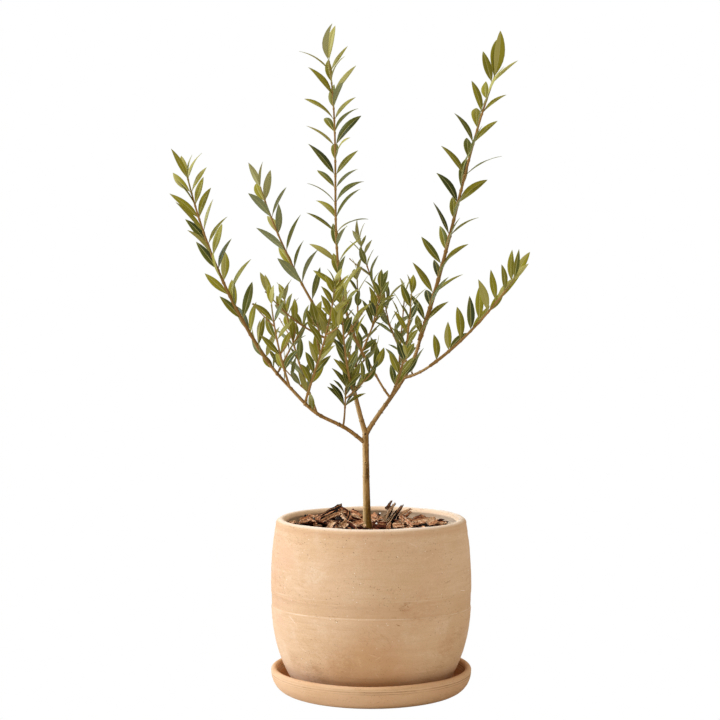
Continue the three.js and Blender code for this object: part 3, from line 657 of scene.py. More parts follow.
def lathe(profile, around, relief, slot_of):
    """Turns (radius, height, relief share) points round the axis into a closed piece."""
    rows = []
    for radius, height, share in profile:
        row = []
        for k in range(around):
            heading = 360 * k / around
            turn = math.radians(heading)
            off = share * relief(heading, height) if share else 0.0
            row.append(((radius + off) * math.cos(turn), (radius + off) * math.sin(turn), height))
        rows.append(row)
    build = Build()
    marks = [[slot_of(*profile[i][:2], i)] * around for i in range(len(profile) - 1)]
    build.grid(rows, marks)
    return build


def lip_wave(points, heading_scale, rise):
    """Lets a lip's crest rise and fall a little round the pot."""
    turn = np.arctan2(points[:, 1], points[:, 0])
    lift = np.array([wave(heading_scale * math.cos(t), heading_scale * math.sin(t), 3.3) for t in turn])
    return lift * rise


def pot_piece():
    low, high = node_box("pot")
    base, floor = POT["base"], POT["base"] + POT["floor"]
    heights = set(np.linspace(base + POT["heel"], LIP_HEIGHT, 96))
    heights |= set(np.arange(BAND["low"] - 8, BAND["low"] + 8, 0.5)) | set(np.arange(129, 136, 0.6))
    outside = [(pot_radius(h), h, 1.0) for h in sorted(heights)]
    heel = arc(POT["base_radius"] - POT["heel"], base + POT["heel"], POT["heel"] - 0.3, -85, -8, 6)
    lip = arc(POT["lip_centre"], LIP_HEIGHT, POT["lip"], 12, 172, 14)
    inside = [(pot_radius(h) - POT["wall"], h) for h in np.linspace(LIP_HEIGHT, floor + POT["heel"], 34)]
    profile = [(0.5, base, 0.0), (POT["base_radius"] - POT["heel"], base, 0.0)]
    profile += [(r, h, 0.0) for r, h in heel]
    profile += outside
    profile += [(r, h, 0.45) for r, h in lip]
    turn = len(profile) - 5
    profile += [(r, h, 0.45) for r, h in inside]
    profile += [(pot_radius(floor) - POT["wall"] - POT["heel"], floor, 0.0), (0.5, floor, 0.0)]
    build = lathe(profile, POT_AROUND, pot_relief, lambda r, h, i: 1 if i >= turn else 0)
    points = build.points[0]
    near_lip = np.clip((points[:, 2] - (LIP_HEIGHT - 14)) / 18, 0, 1)
    points[:, 2] += near_lip * (lip_wave(points, 1.6, 1.1) + lip_wave(points, 7, 0.35) - 0.6)
    points[:, 2] = np.clip(points[:, 2], low[2], high[2])
    make_piece("pot_clay", build, [CLAY, CLAY_PALE], ["pot"])


def saucer_relief(heading, height):
    turn = math.radians(heading)
    x, y = math.cos(turn), math.sin(turn)
    value = 0.35 * wave(1.2 * x, 1.2 * y, height / 30 + 7) + 0.12 * wave(0.6 * x, 0.6 * y, height / 2.4)
    value += 0.1 * wave(11 * x, 11 * y, height / 6 + 3) - 0.4
    for at, depth in ((24.6, 0.9), (21.9, 0.5)):
        path = at + 0.5 * wave(1.4 * x, 1.4 * y, at)
        rough = 0.8 + 0.6 * wave(12 * x, 12 * y, at)
        value -= depth * rough * groove(height, path, 0.5)
    return value


def saucer_piece():
    low, high = node_box("saucer")
    lip_height = SAUCER["height"] - SAUCER["lip"]
    side = SAUCER["belly"] - SAUCER["foot"]
    profile = [(0.5, 0, 0.0), (SAUCER["foot"] - 3, 0, 0.0), (SAUCER["foot"], 0.3, 0.0)]
    for i in range(1, 40):
        angle = i / 40 * math.pi / 2
        profile.append((SAUCER["foot"] + side * math.sin(angle), lip_height * (1 - math.cos(angle)), 1.0))
    profile += [(r, h, 0.8) for r, h in arc(SAUCER["wall"], lip_height, SAUCER["lip"], 0, 175, 16)]
    turn = len(profile)
    inner = SAUCER["wall"] - SAUCER["lip"]
    for i in range(1, 14):
        angle = i / 14 * math.pi / 2
        profile.append((mix(inner, SAUCER["inner"], 1 - math.cos(angle)) - 2.5 * math.sin(angle),
                        mix(lip_height, SAUCER["floor"], math.sin(angle)), 0.4))
    profile += [(SAUCER["inner"] - 8, SAUCER["floor"] - 0.1, 0.0), (0.5, SAUCER["floor"] - 0.1, 0.0)]
    build = lathe(profile, SAUCER_AROUND, saucer_relief, lambda r, h, i: 1 if i > turn + 2 else 0)
    points = build.points[0]
    near_lip = np.clip((points[:, 2] - (lip_height - 6)) / 8, 0, 1)
    points[:, 2] += near_lip * (lip_wave(points, 1.9, 0.7) - 0.35)
    points[:, 2] = np.clip(points[:, 2], low[2], high[2])
    make_piece("saucer_clay", build, [CLAY_SAUCER, CLAY_SAUCER_SHADE], ["saucer"])


# ---------------------------------------------------------------- mulch

MULCH = dict(top=212, edge=208, flat=16, shoulder=64, shoulder_drop=0.25)
# The large chips as in the source, with the slots of CHIP_KINDS and the stripes along each.
BIG_CHIPS_FIELDS = ("name", "x", "y", "heading", "rise", "roll", "size", "layers", "kind", "curl",
                    "taper", "stripes")
BIG_CHIPS = [dict(zip(BIG_CHIPS_FIELDS, row)) for row in (
    ("chip_plank", -82, 56, 8, 27, 50, (52, 12, 3.0), 3, 3, 0.5, 0.0, (2, 6, 7, 11)),
    ("chip_curl", -91, 20, 350, 10, 25, (30, 12, 2.4), 1, 1, 1.0),
    ("chip_lath", -58, 38, 12, 17, 35, (36, 7, 2.8), 1, 0, 0.6),
    ("chip_blade", 18, 42, 20, 66, 70, (31, 8, 2.2), 2, 4, 0.5, 0.6, (1, 11)),
    ("chip_spike", 24, 26, 15, 58, 60, (33, 8, 2.2), 2, 4, 0.5, 0.7, (0, 12)),
    ("chip_splinter", 31, 42, 12, 36, 30, (29, 6, 2.4), 1, 0, 0.5, 0.6),
)]
# Smaller chips that lie in sight: where an end lies, compass heading, rise and roll, then length,
# width, thickness, kind and curl. A separate program worked out most of the places, headings, rises
# and lengths.
LAID_CHIPS = [
    (-43, 62, 229, -10, -30, 40, 17, 8, 2.5, 2, 1.2),
    (-93, 10, 217, 15, 12, 20, 17, 9, 2.4, 1, 2.4),
    (-82, 6, 222, -42, -26, -30, 19, 9, 2.4, 1, 2.2),
    (-93, -8, 217, 20, 10, 10, 17, 7, 2.0, 0, 2.0),
    (-67, 2, 218, 36, 18, 50, 32, 5, 2.0, 1, 1.2),
    (-45, 20, 225, 25, 14, 30, 15, 6, 2.0, 1, 1.6),
    (-39, 8, 228, -45, -36, 80, 14, 9, 2.4, 4, 3.4),
    (-28, 10, 231, -107, -48, 70, 13, 6, 2.0, 2, 1.0),
    (-54, -42, 216, 47, 40, 31, 13, 8, 2.2, 1, 1.0),
    (-45, -40, 217, 44, -35, 33, 10, 8, 2.2, 0, 1.2),
    (-38, -44, 217, 42, 31, 45, 14, 9, 2.4, 1, 1.0),
    (-30, -36, 223, -35, -25, -35, 16, 10, 2.4, 0, 1.0),
    (-25, 36, 226, -27, -19, 20, 14, 8, 2.4, 0, 1.0),
    (-25, 14, 223, -25, -12, -20, 15, 8, 2.4, 0, 1.2),
    (-22, -24, 218, 32, 11, 30, 15, 8, 2.2, 0, 0.8),
    (-27, 50, 227, -33, -16, 40, 12, 7, 2.2, 2, 0.8),
    (0, -22, 218, 0, -2, 70, 21, 9, 4.0, 2, 0.2),
    (1, 38, 224, -57, -19, 30, 15, 8, 2.2, 0, 1.0),
    (8, 8, 219, 33, 13, 10, 11, 8, 2.2, 0, 1.0),
    (20, 34, 230, 29, 55, 60, 15, 6, 2.4, 3, 0.8),
    (16, 6, 219, 32, 51, 68, 30, 7, 2.4, 4, 0.6),
    (21, -6, 217, 40, 43, 66, 26, 8, 3.0, 4, 0.6),
    (33, 2, 228, 32, 48, 60, 17, 4, 2.2, 3, 0.6),
    (36, 4, 226, 20, 29, 35, 20, 5, 2.2, 0, 0.6),
    (37, 0, 226, -60, -16, 50, 36, 6, 2.6, 0, 0.6),
    (40, 4, 219, 16, 1, 20, 15, 9, 2.2, 0, 0.8),
    (51, -14, 218, 19, 6, 25, 24, 13, 2.4, 0, 0.8),
    (72, -20, 219, 30, 15, 40, 16, 14, 2.2, 0, 0.9),
    (84, -16, 219, 0, 0, 20, 14, 6, 1.8, 0, 0.5),
    (28, -34, 217, 16, 5, 30, 15, 10, 2.2, 1, 0.9),
    (21, -34, 215, 61, 45, 50, 10, 6, 2.2, 0, 0.8),
    (56, 18, 220, 19, 7, 25, 13, 8, 2.0, 2, 0.8),
    (-105, -10, 218, 28, 5, 20, 9, 6, 2.0, 0, 1.0),
]
LAID_PERLITE = [(7, -28, 219.5, 1.4), (12, 34, 224.5, 1.4)]
CHIP_BURIED = 3
# Kinds of bark: slots of the face, of its stripes, of its back and of its torn edges, and the share.
CHIP_KINDS = [(0, 3, 1, 3, 0.32), (3, 0, 0, 0, 0.18), (1, 0, 2, 0, 0.15), (2, 0, 2, 1, 0.35),
              (2, 3, 2, 3, 0)]
# Layers from the deepest: how many, least and most length, steepest tilt, and share of dark chips.
# The deepest layer's large share of dark chips is painted shade for the gaps between the chips above.
CHIP_LAYERS = [(170, 14, 30, 12, 0.7), (60, 14, 32, 30, 0.2), (40, 7, 16, 30, 0.0)]
CHIP_CELL = 2.0
BED_RADIUS = 110
# The loose bed climbs towards the wall: by how much, from which radius and over what distance.
WALL_RISE = dict(height=2.5, start=60, reach=30)
# Steep chips keep off the trunk and off a strip in front of it.
STEEP = 20
TRUNK_CLEAR = 6.5
FRONT_STRIP = dict(half_width=7, depth=60)


def bed_height(x, y):
    out = clamp((math.hypot(x, y) - MULCH["flat"]) / (MULCH["shoulder"] - MULCH["flat"]))
    return mix(MULCH["top"], MULCH["edge"], MULCH["shoulder_drop"] * out)


def wall_rise(x, y):
    """How far the loose bed climbs where it meets the wall."""
    out = clamp((math.hypot(x, y) - WALL_RISE["start"]) / WALL_RISE["reach"])
    return WALL_RISE["height"] * out


def turn_matrix(heading, rise, roll):
    """Rotations as the source's chips have: roll about the length, then rise, then heading."""
    h, r, o = (math.radians(v) for v in (heading, -rise, roll))
    about_z = np.array([[math.cos(h), -math.sin(h), 0], [math.sin(h), math.cos(h), 0], [0, 0, 1]])
    about_y = np.array([[math.cos(r), 0, math.sin(r)], [0, 1, 0], [-math.sin(r), 0, math.cos(r)]])
    about_x = np.array([[1, 0, 0], [0, math.cos(o), -math.sin(o)], [0, math.sin(o), math.cos(o)]])
    return about_z @ about_y @ about_x


def chip_mesh(size, curl, kind, random, along=6, across=5, ragged=0.2, taper=0.0,
              stripes=()):
    """A split board along +X: ragged ends and sides, a curl across and raised, striped fibres."""
    length, width, thickness = size
    face, stripe, back, torn = CHIP_KINDS[kind][:4]
    seed, bow = 100 * random(), mix(-0.06, 0.1, random()) * length
    columns = range(across + 1)
    starts = [0.7 * ragged * length * random() for _ in columns]
    ends = [length * (1 - ragged * random()) for _ in columns]
    ridges = [thickness * mix(-0.4, 0.4, random()) for _ in columns]
    top, bottom = [], []
    for i in range(along + 1):
        t = i / along
        narrow = (1 - 0.3 * abs(wave(3.1 * t, seed, 1.0))) * (1 - taper * t)
        for k in columns:
            u = 2 * k / across - 1
            x = mix(starts[k], ends[k], t)
            y = u * width / 2 * narrow + 0.12 * width * wave(4 * t, seed, k)
            z = curl * (u * u - 0.4) * width / 5 + ridges[k] * (0.6 + wave(5 * t, seed, k))
            z -= bow * (2 * t - 1) ** 2
            thick = thickness * (1 - 0.5 * u * u) * (1 - 0.35 * (2 * t - 1) ** 2)
            top.append((x, y, z + thick / 2))
            bottom.append((x, y, z - thick / 2))
    wide, under = across + 1, len(top)
    picked = stripes or [k for k in range(across) if random() < 2 / across]
    shades = [stripe if k in picked else face for k in range(across)]
    faces, slots = [], []

    def side(a, b, flip):
        edge = [a, under + a, under + b, b]
        faces.append(edge[::-1] if flip else edge)
        slots.append(torn)

    for i in range(along):
        for k in range(across):
            a = i * wide + k
            faces.append([a, a + wide, a + wide + 1, a + 1])
            faces.append([under + a, under + a + 1, under + a + wide + 1, under + a + wide])
            slots += [shades[k], back]
        side(i * wide, (i + 1) * wide, False)
        side(i * wide + across, (i + 1) * wide + across, True)
    for k in range(across):
        side(k, k + 1, True)
        side(along * wide + k, along * wide + k + 1, False)
    return np.array(top + bottom), faces, slots


def bed_piece():
    """The dark bed under the chips, filling the pot to a low uneven mound."""
    low = node_box("mulch_bed")[0]
    bottom, start = low[2], POT["heel"]
    profile = [(0.5, bottom, 0.0), (pot_radius(bottom) - POT["wall"] - 5, bottom, 0.0)]
    for height in np.linspace(bottom + start, MULCH["edge"] - 4, 10):
        profile.append((pot_radius(height) - POT["wall"] - 1.5, height, 0.0))
    for radius in np.linspace(BED_RADIUS, 0.5, 46):
        profile.append((radius, bed_height(radius, 0) + wall_rise(radius, 0) - 3.5, 0.0))
    build = lathe(profile, 120, lambda h, z: 0.0, lambda r, h, i: 0)
    points = build.points[0]
    for i, (x, y, z) in enumerate(points):
        if z > MULCH["edge"] - 6:
            points[i, 2] += 1.3 * wave(x / 9, y / 9, 1.0) + 0.9 * wave(x / 3.2, y / 3.2, 4.0)
    make_piece("mulch_soil", build, [SOIL], ["mulch_bed"])


def chip_pieces():
    """Bark chips, each laid on what already lies under it, with the large ones as in the source."""
    random = seeded(5)
    build = Build()
    tops = {}

    def cell_at(x, y):
        return round(x / CHIP_CELL), round(y / CHIP_CELL)

    def lay(points, faces, slots, highest):
        build.add(points, faces, slots)
        for x, y, z in points:
            cell = cell_at(x, y)
            tops[cell] = max(tops.get(cell, 0), min(z, highest))

    for chip in BIG_CHIPS:
        foot = (chip["x"], chip["y"], bed_height(chip["x"], chip["y"]) - CHIP_BURIED)
        length, width, thickness = chip["size"]
        for layer in range(chip["layers"]):
            size = (length * (1 - 0.13 * layer), width * (1 - 0.1 * layer), thickness)
            points, faces, slots = chip_mesh(size, chip["curl"], chip["kind"], random, 12, 13, ragged=0.07,
                                             taper=chip.get("taper", 0.0), stripes=chip.get("stripes", ()))
            points += (0.03 * length * layer, 0.18 * width * layer, -1.25 * thickness * layer)
            points = points @ turn_matrix(chip["heading"], chip["rise"], chip["roll"]).T + foot
            lay(points, faces, slots, MULCH["top"] + 4)
    trunk_x = TRUNK_FOOT[0]
    for count, least, most, steepest, dark in CHIP_LAYERS:
        for _ in range(count):
            angle, ring = 2 * math.pi * random(), BED_RADIUS * math.sqrt(random())
            length = mix(least, most, random() ** 1.5)
            size = (length, length * mix(0.3, 0.62, random()), mix(1.6, 3.0, random()))
            pick, kind = random(), 0
            while pick > CHIP_KINDS[kind][4] and kind < len(CHIP_KINDS) - 1:
                pick -= CHIP_KINDS[kind][4]
                kind += 1
            # Painted shade: a layer's share of chips is turned dark, most in the deepest layer, whose chips
            # show only in the gaps.
            kind = 3 if random() < dark else kind
            points, faces, slots = chip_mesh(size, mix(-0.5, 1.6, random()), kind, random)
            points -= (length / 2, 0, 0)
            tilt = steepest * random() ** 1.5
            points = points @ turn_matrix(360 * random(), tilt, mix(-1, 1, random()) * tilt * 1.2).T
            points += (ring * math.cos(angle), ring * math.sin(angle), 0)
            reach = np.hypot(points[:, 0], points[:, 1]).max()
            if reach > BED_RADIUS:
                middle = points[:, :2].mean(axis=0)
                points[:, :2] -= middle / np.linalg.norm(middle) * (reach - BED_RADIUS)
            beside, ahead = np.abs(points[:, 0] - trunk_x), -points[:, 1]
            in_front = (beside < FRONT_STRIP["half_width"]) & (ahead > 0) & (ahead < FRONT_STRIP["depth"])
            if steepest > STEEP and (in_front.any() or np.hypot(beside, ahead).min() < TRUNK_CLEAR):
                continue
            floor = bed_height(ring, 0) + wall_rise(ring, 0) - 2
            under = [tops.get(cell, floor) for cell in {cell_at(x, y) for x, y, _ in points}]
            tall = points[:, 2].max() - points[:, 2].min()
            points[:, 2] += np.quantile(under, 0.7) - 0.3 - 0.25 * tall - points[:, 2].min()
            reach = np.hypot(points[:, 0], points[:, 1]).max()
            if points[:, 2].max() > MULCH["top"] + 9 or reach > BED_RADIUS + 0.8:
                continue
            lay(points, faces, slots, MULCH["top"] + 6)
    for x, y, z, heading, rise, roll, length, width, thickness, kind, curl in LAID_CHIPS:
        size = (length, width, thickness)
        points, faces, slots = chip_mesh(size, curl, kind, random, 8, 6, 0.12, 0.6 if rise > 40 else 0.15)
        lay(points @ turn_matrix(heading, rise, roll).T + (x, y, z), faces, slots, MULCH["top"] + 8)
    chips = [chip["name"] for chip in BIG_CHIPS] + [f"chip_{i:02d}" for i in range(1, 13)]
    make_piece("mulch_chips", build, CHIPS, chips, sharp=34)

    specks = Build()
    crumbs = list(LAID_PERLITE)
    for _ in range(12):
        angle, ring = 2 * math.pi * random(), BED_RADIUS * math.sqrt(random()) * 0.94
        x, y = ring * math.cos(angle), ring * math.sin(angle)
        height = max(tops.get(cell_at(x, y), 0), bed_height(x, y) - 2.5)
        crumbs.append((x, y, height, mix(0.5, 1.0, random())))
    for x, y, z, size in crumbs:
        rows = []
        for i in range(5):
            lat = math.pi * (0.08 + 0.84 * i / 4)
            rows.append([(x + size * math.sin(lat) * math.cos(a) * (1 + 0.3 * wave(i, a, x)),
                          y + size * math.sin(lat) * math.sin(a) * (1 + 0.3 * wave(a, i, y)),
                          z + 0.4 - size * 0.9 * math.cos(lat)) for a in np.linspace(0, 2 * math.pi, 8)[:-1]])
        specks.grid(rows, 0)
    make_piece("mulch_perlite", specks, [GRIT])


# ---------------------------------------------------------------- the growth rule

TRUNK_FOOT = (-5, 0)
LIMB_STEP = 4
FLARE_REACH = 2.2
WEAVE = dict(start=0.21, turn=0.55)
# The boughs' paths were fitted by a separate program and rounded.
BOUGHS_FIELDS = ("name", "heading", "swing", "lean", "length", "radius", "flare", "parent", "at",
                 "weave")
BOUGHS = [dict(zip(BOUGHS_FIELDS, row)) for row in (
    ("trunk", 180, 0, (2, 1, 1), 121, (4.9, 4.1), 1.5),
    ("bough_leader", 156, -2, (18, 15, 10), 91, (3.4, 2.3), 0.4, "trunk", 1),
    ("bough_left", 197, -1, (65, 52, 35), 171, (2.6, 1.9), 0.7, "trunk", 0.9, 13),
    ("bough_right", 23, 1, (32, 37, 12), 148, (3.1, 2.2), 0.6, "trunk", 0.985),
    ("bough_third", 139, 0, (39, 39, 37), 86, (1.8, 1.4), 0.3, "bough_leader", 1),
    ("bough_tall", 190, -2, (41, 29, 37), 66, (1.6, 1.4), 0.5, "bough_right", 0.4),
    ("bough_far_right", 330, -1, (80, 66, 56), 45, (2, 1.7), 0.5, "bough_right", 0.62),
)]

# Each leafy limb as in the source, and in addition: `finer`, its number of fine twigs; `tone`, how
# far its leaves go from dark (0) to gold (1); and `twig`, the colour of its bark.
# These numbers aren't hand-chosen. A separate program fitted the paths of the first eleven rows, and
# another searched for the leaves' angles, spacings, lengths and seeds of all rows.
MASSES_FIELDS = ("name", "parent", "at", "heading", "swing", "lean", "length", "radius", "phase",
                 "bare", "spacing", "leaf", "tip_leaf", "twigs", "seed", "finer", "tone", "twig",
                 "turned", "recurve")
MASSES = [dict(zip(MASSES_FIELDS, row)) for row in (
    ("foliage_left", "bough_left", 1, 199, 3, (35, 24, 14), 255, (1.8, 0.7), 65, 4, (20, 16), 50, 29, 0,
     304, 0, 0.7, 1, 0.6),
    ("foliage_third", "bough_third", 1, 144, 3, (38, 30, 22), 197, (1.3, 0.7), 50, 20, (28, 22), 50, 41, 0,
     712, 0, 0.74, 1, 0),
    ("foliage_tall", "bough_tall", 1, 205, 34, (32, 1, 15), 384, (1.4, 0.7), 85, 21, (22, 15), 52, 51, 0,
     33, 0, 0.68, 2, 0.4, (20, 44)),
    ("foliage_right", "bough_right", 1, 21, 1, (21, 15, 22), 360, (2.1, 0.8), 85, 4, (19, 22), 53, 66, 0,
     308, 0, 0.5, 1, 0.6),
    ("foliage_far_right", "bough_far_right", 1, 325, -3, (58, 48, 41), 168, (1.6, 0.7), 50, 8, (22, 15), 43,
     38, 0, 59, 0, 0.68, 1, 0.6),
    ("foliage_right_inner", "bough_right", 0.72, 122, 2, (44, 36, 28), 207, (1.2, 0.6), 20, 22, (18, 14),
     31, 30, 0, 135, 2, 0.58, 2, 0.3),
    ("foliage_second", "bough_third", 0.45, 221, 1, (73, 62, 46), 123, (1.1, 0.6), 60, 24, (18, 14), 31, 34,
     1, 504, 1, 0.78, 2, 0.6),
    ("foliage_leader", "bough_leader", 0.93, 51, 1, (58, 33, 61), 118, (1.2, 0.6), 55, 10, (21, 16), 37, 34,
     1, 633, 1, 0.48, 2, 0.6),
    ("foliage_left_inner", "bough_left", 0.57, 293, 0, (37, 39, 15), 182, (1.2, 0.6), 45, 16, (18, 14), 34,
     30, 1, 966, 2, 0.78, 2, 0.3),
    ("foliage_low", "bough_left", 0.88, 71, -2, (60, 55, 70), 101, (1, 0.6), 25, 10, (21, 16), 34, 26, 0,
     191, 1, 0.58, 2, 0.6),
    ("foliage_sprig", "bough_left", 0.22, 281, 2, (54, 14, 30), 60, (1, 0.6), 10, 30, (15, 11), 36, 36, 1,
     857, 0, 0.43, 1, 0.3),
    ("foliage_front", "bough_leader", 0.5, 258, 8, (62, 42, 18), 175, (1.3, 0.6), 50, 44, (19, 14), 33, 30,
     0, 252, 2, 0.6, 2, 0),
    ("foliage_back", "bough_leader", 0.7, 84, 10, (60, 44, 20), 205, (1.3, 0.6), 0, 38, (25, 18), 30, 26, 1,
     275, 2, 0.48, 2, 0.3),
    ("foliage_front_right", "bough_right", 0.33, 290, -12, (60, 40, 16), 190, (1.3, 0.6), 55, 44, (25, 18),
     33, 26, 1, 328, 1, 0.43, 1, 0.3),
    ("foliage_back_right", "bough_right", 0.55, 92, -14, (62, 46, 20), 165, (1.2, 0.6), 40, 44, (29, 21),
     36, 30, 0, 11, 2, 0.53, 2, 0.3),
    ("foliage_back_left", "bough_left", 0.45, 108, 14, (54, 40, 14), 190, (1.3, 0.6), 80, 38, (29, 21), 33,
     30, 1, 140, 2, 0.58, 2, 0),
    ("foliage_front_left", "bough_left", 0.74, 262, -10, (58, 40, 16), 140, (1.2, 0.6), 60, 38, (29, 21),
     36, 26, 0, 542, 2, 0.63, 2, 0.6),
)]
LIGHT = unit(np.array([-0.3, -0.85, 0.45]))
LEAF = dict(splay=(58, 46), splay_spread=12, lift=0.3, lowest=-0.1, recurve=(6, 30), flat=0.6, turn_spread=24,
            roll_spread=24, tip_splay=20, tip_inset=1.2, tip_bare=3, end_taper=0.7,
            length_spread=(0.86, 1.12), spacing_spread=(0.9, 1.1))
SIDE_TWIG = dict(length=(34, 58), splay=44, radius=(1.1, 0.65), spacing=15, bare=15, leaf=0.84,
                 rise=0.0036, highest=0.7, phase=45, turn=137, turn_spread=60)
SPACE_RADIUS = 78
# How much thicker the stems show than the core that the source gives them.
STEM_GIRTH = 1.3
# Leaf pairs on short shoots of the boughs, with the leafy limb that each is counted with.
SHOOTS_FIELDS = ("mass", "parent", "at", "heading", "lean", "length", "phase", "leaf", "turned")
SHOOTS = [dict(zip(SHOOTS_FIELDS, row)) for row in (
    ("foliage_left_inner", "bough_left", 0.52, 190, 60, 4, 20, 40, 0.0),
    ("foliage_left", "foliage_left", 0.03, 184, 70, 4, 75, 46, 0.0),
    ("foliage_left_inner", "bough_left", 0.47, 200, 50, 3, 100, 26, 0.4),
    ("foliage_low", "bough_left", 0.78, 200, 52, 4, 10, 38, 0.4),
    ("foliage_low", "bough_left", 0.9, 190, 40, 4, 60, 30, 0.3),
    ("foliage_right_inner", "bough_far_right", 0.3, 160, 20, 5, 10, 32, 0.2),
    ("foliage_sprig", "foliage_sprig", 0.5, 270, 5, 2, 0, 33, 0.5),
    ("foliage_front", "bough_leader", 0.55, 250, 40, 6, 20, 32, 0.5),
    ("foliage_back", "bough_leader", 0.75, 80, 45, 6, 60, 32, 0.5),
    ("foliage_front_right", "bough_right", 0.62, 280, 50, 6, 40, 32, 0.4),
)]
SHOOT_RADIUS = 0.9
# The lowest finer twig starts at a share of its stem's bare foot and a few millimetres more.
FINE_TWIG = dict(length=(26, 50), splay=46, radius=(0.85, 0.55), spacing=15, bare=12, leaf=0.85,
                 lowest=(0.7, 4), highest=0.85, lift=0.3)
# A leaf that would cross something is turned by growing steps this many times, then left a bud.
LEAF_TRIES = 4
LEAF_TURN = 0.12
# A leaf's tone: its scatter, what height and youth add, and where the height counts from and over.
TONE = dict(scatter=0.75, height=0.1, young=0.22, start=560, reach=200, young_from=0.85)


class Line:
    def __init__(self, points, length):
        self.points = np.array(points)
        self.stride = length / (len(points) - 1)
        self.length = length

    def point(self, distance):
        place = min(distance / self.stride, len(self.points) - 1.001)
        i = int(place)
        return mix(self.points[i], self.points[i + 1], place - i)

    def way(self, distance):
        i = min(int(distance / self.stride), len(self.points) - 2)
        return unit(self.points[i + 1] - self.points[i])

    def smooth_way(self, distance):
        reach = LIMB_STEP
        low, high = max(0, distance - reach), min(self.length, distance + reach)
        return unit(self.point(high) - self.point(low))


def direction(heading, lean):
    turn, tilt = math.radians(heading), math.radians(lean)
    return np.array([math.sin(tilt) * math.cos(turn), math.sin(tilt) * math.sin(turn), math.cos(tilt)])


def walk(foot, limb):
    steps = math.ceil(limb["length"] / LIMB_STEP)
    points = [np.array(foot, float)]
    a, b, c = limb["lean"]
    for i in range(steps):
        t = (i + 0.5) / steps
        lean = a * (1 - t) * (1 - 2 * t) + 4 * b * t * (1 - t) + c * t * (2 * t - 1)
        sway = math.sin(2 * math.pi * (t - WEAVE["start"]) / WEAVE["turn"])
        lean += limb.get("weave", 0) * (1 - t) * sway
        way = direction(limb["heading"] + limb["swing"] * t, lean)
        points.append(points[-1] + way * limb["length"] / steps)
    return Line(points, limb["length"])


def walk_twig(foot, way, length, rise=SIDE_TWIG["rise"]):
    steps = math.ceil(length / LIMB_STEP)
    stride = length / steps
    points, heading = [np.array(foot, float)], way.copy()
    for _ in range(steps):
        heading = unit(heading + UP * (rise * stride))
        points.append(points[-1] + heading * stride)
    return Line(points, length)


def short_line(lines, limb):
    """A straight stub or shoot that leaves its parent."""
    parent = lines[limb["parent"]]
    foot = parent.point(limb["at"] * parent.length)
    tip = foot + direction(limb["heading"], limb["lean"]) * limb["length"]
    return Line([foot, tip], limb["length"])


def square_to(way):
    side = unit(np.cross(DEPTH, way))
    return side, unit(np.cross(side, way))


def limb_radius(limb):
    low, high = limb["radius"]
    flare, reach = limb.get("flare", 0), limb["radius"][0] * FLARE_REACH
    return lambda d: mix(low, high, d / limb["length"]) + flare * math.exp(-d / reach)


def tapered(radius, length):
    """A radius that goes evenly from one value to another over a length."""
    return lambda d: mix(*radius, d / length)


def leaf_frame(root, stem_way, outward, splay, recurve, roll, turned, length):
    angle = math.radians(splay)
    way = stem_way * math.cos(angle) + outward * math.sin(angle)
    shed = way[2] < LEAF["lowest"]
    way = unit(way + UP * (LEAF["lift"] + math.hypot(stem_way[0], stem_way[1])))
    back = unit(way * np.dot(way, stem_way) - stem_way)
    dark = unit(way * np.dot(way, LIGHT) - LIGHT)
    to_dark = math.atan2(np.dot(np.cross(back, dark), way), np.dot(back, dark))
    back = rotate(back, way, math.radians(roll) + turned * to_dark)
    return dict(root=root, way=way, back=back, bend=math.radians(recurve), length=length, shed=shed)


def leaf_pair(line, distance, phase, rule, t, random):
    root, way = line.point(distance), line.way(distance)
    side, front = square_to(way)
    size = rule["tip_leaf"] if t == 1 else rule["leaf"] * (1 - LEAF["end_taper"] * (t - 0.5) ** 2)
    splay = LEAF["tip_splay"] if t == 1 else mix(*LEAF["splay"], t)
    pair = []
    for turn in (0, 180):
        angle = math.radians(phase + turn)
        outward = unit(side * math.cos(angle) + front * (LEAF["flat"] * math.sin(angle)))
        splayed = splay + 2 * LEAF["splay_spread"] * (random() - 0.5)
        recurve = mix(*rule.get("recurve", LEAF["recurve"]), random())
        roll = 2 * LEAF["roll_spread"] * (random() - 0.5)
        length = size * mix(*LEAF["length_spread"], random())
        leaf = leaf_frame(root, way, outward, splayed, recurve, roll, rule["turned"], length)
        leaf.update(t=t, at=distance, outward=outward)
        pair.append(leaf)
    return pair


def leaf_pairs(line, rule, random):
    leaves, nodes = [], []
    phase, distance = rule["phase"], rule["bare"]
    while distance < line.length - LEAF["tip_bare"]:
        t = distance / line.length
        phase += LEAF["turn_spread"] * (random() - 0.5)
        leaves += leaf_pair(line, distance, phase, rule, t, random)
        nodes.append(distance)
        phase += 90
        distance += mix(*rule["spacing"], t) * mix(*LEAF["spacing_spread"], random())
    leaves += leaf_pair(line, line.length - LEAF["tip_inset"], phase, rule, 1, random)
    nodes.append(line.length - LEAF["tip_inset"])
    return leaves, nodes


def arc_point(leaf, t):
    turn = leaf["bend"] * t
    along = leaf["length"] * math.sin(turn) / leaf["bend"]
    off = leaf["length"] * (1 - math.cos(turn)) / leaf["bend"]
    return leaf["root"] + leaf["way"] * along + leaf["back"] * off


# ---------------------------------------------------------------- leaves

LEAF_ROWS = 10
LEAF_WIDTH = (0.24, 0.3)
MORE_BEND = (0, 16)
RIB_HALF = 0.4
EDGE_WIDTH = 0.42
THICK = (0.85, 0.42)
PETIOLE = 0.085


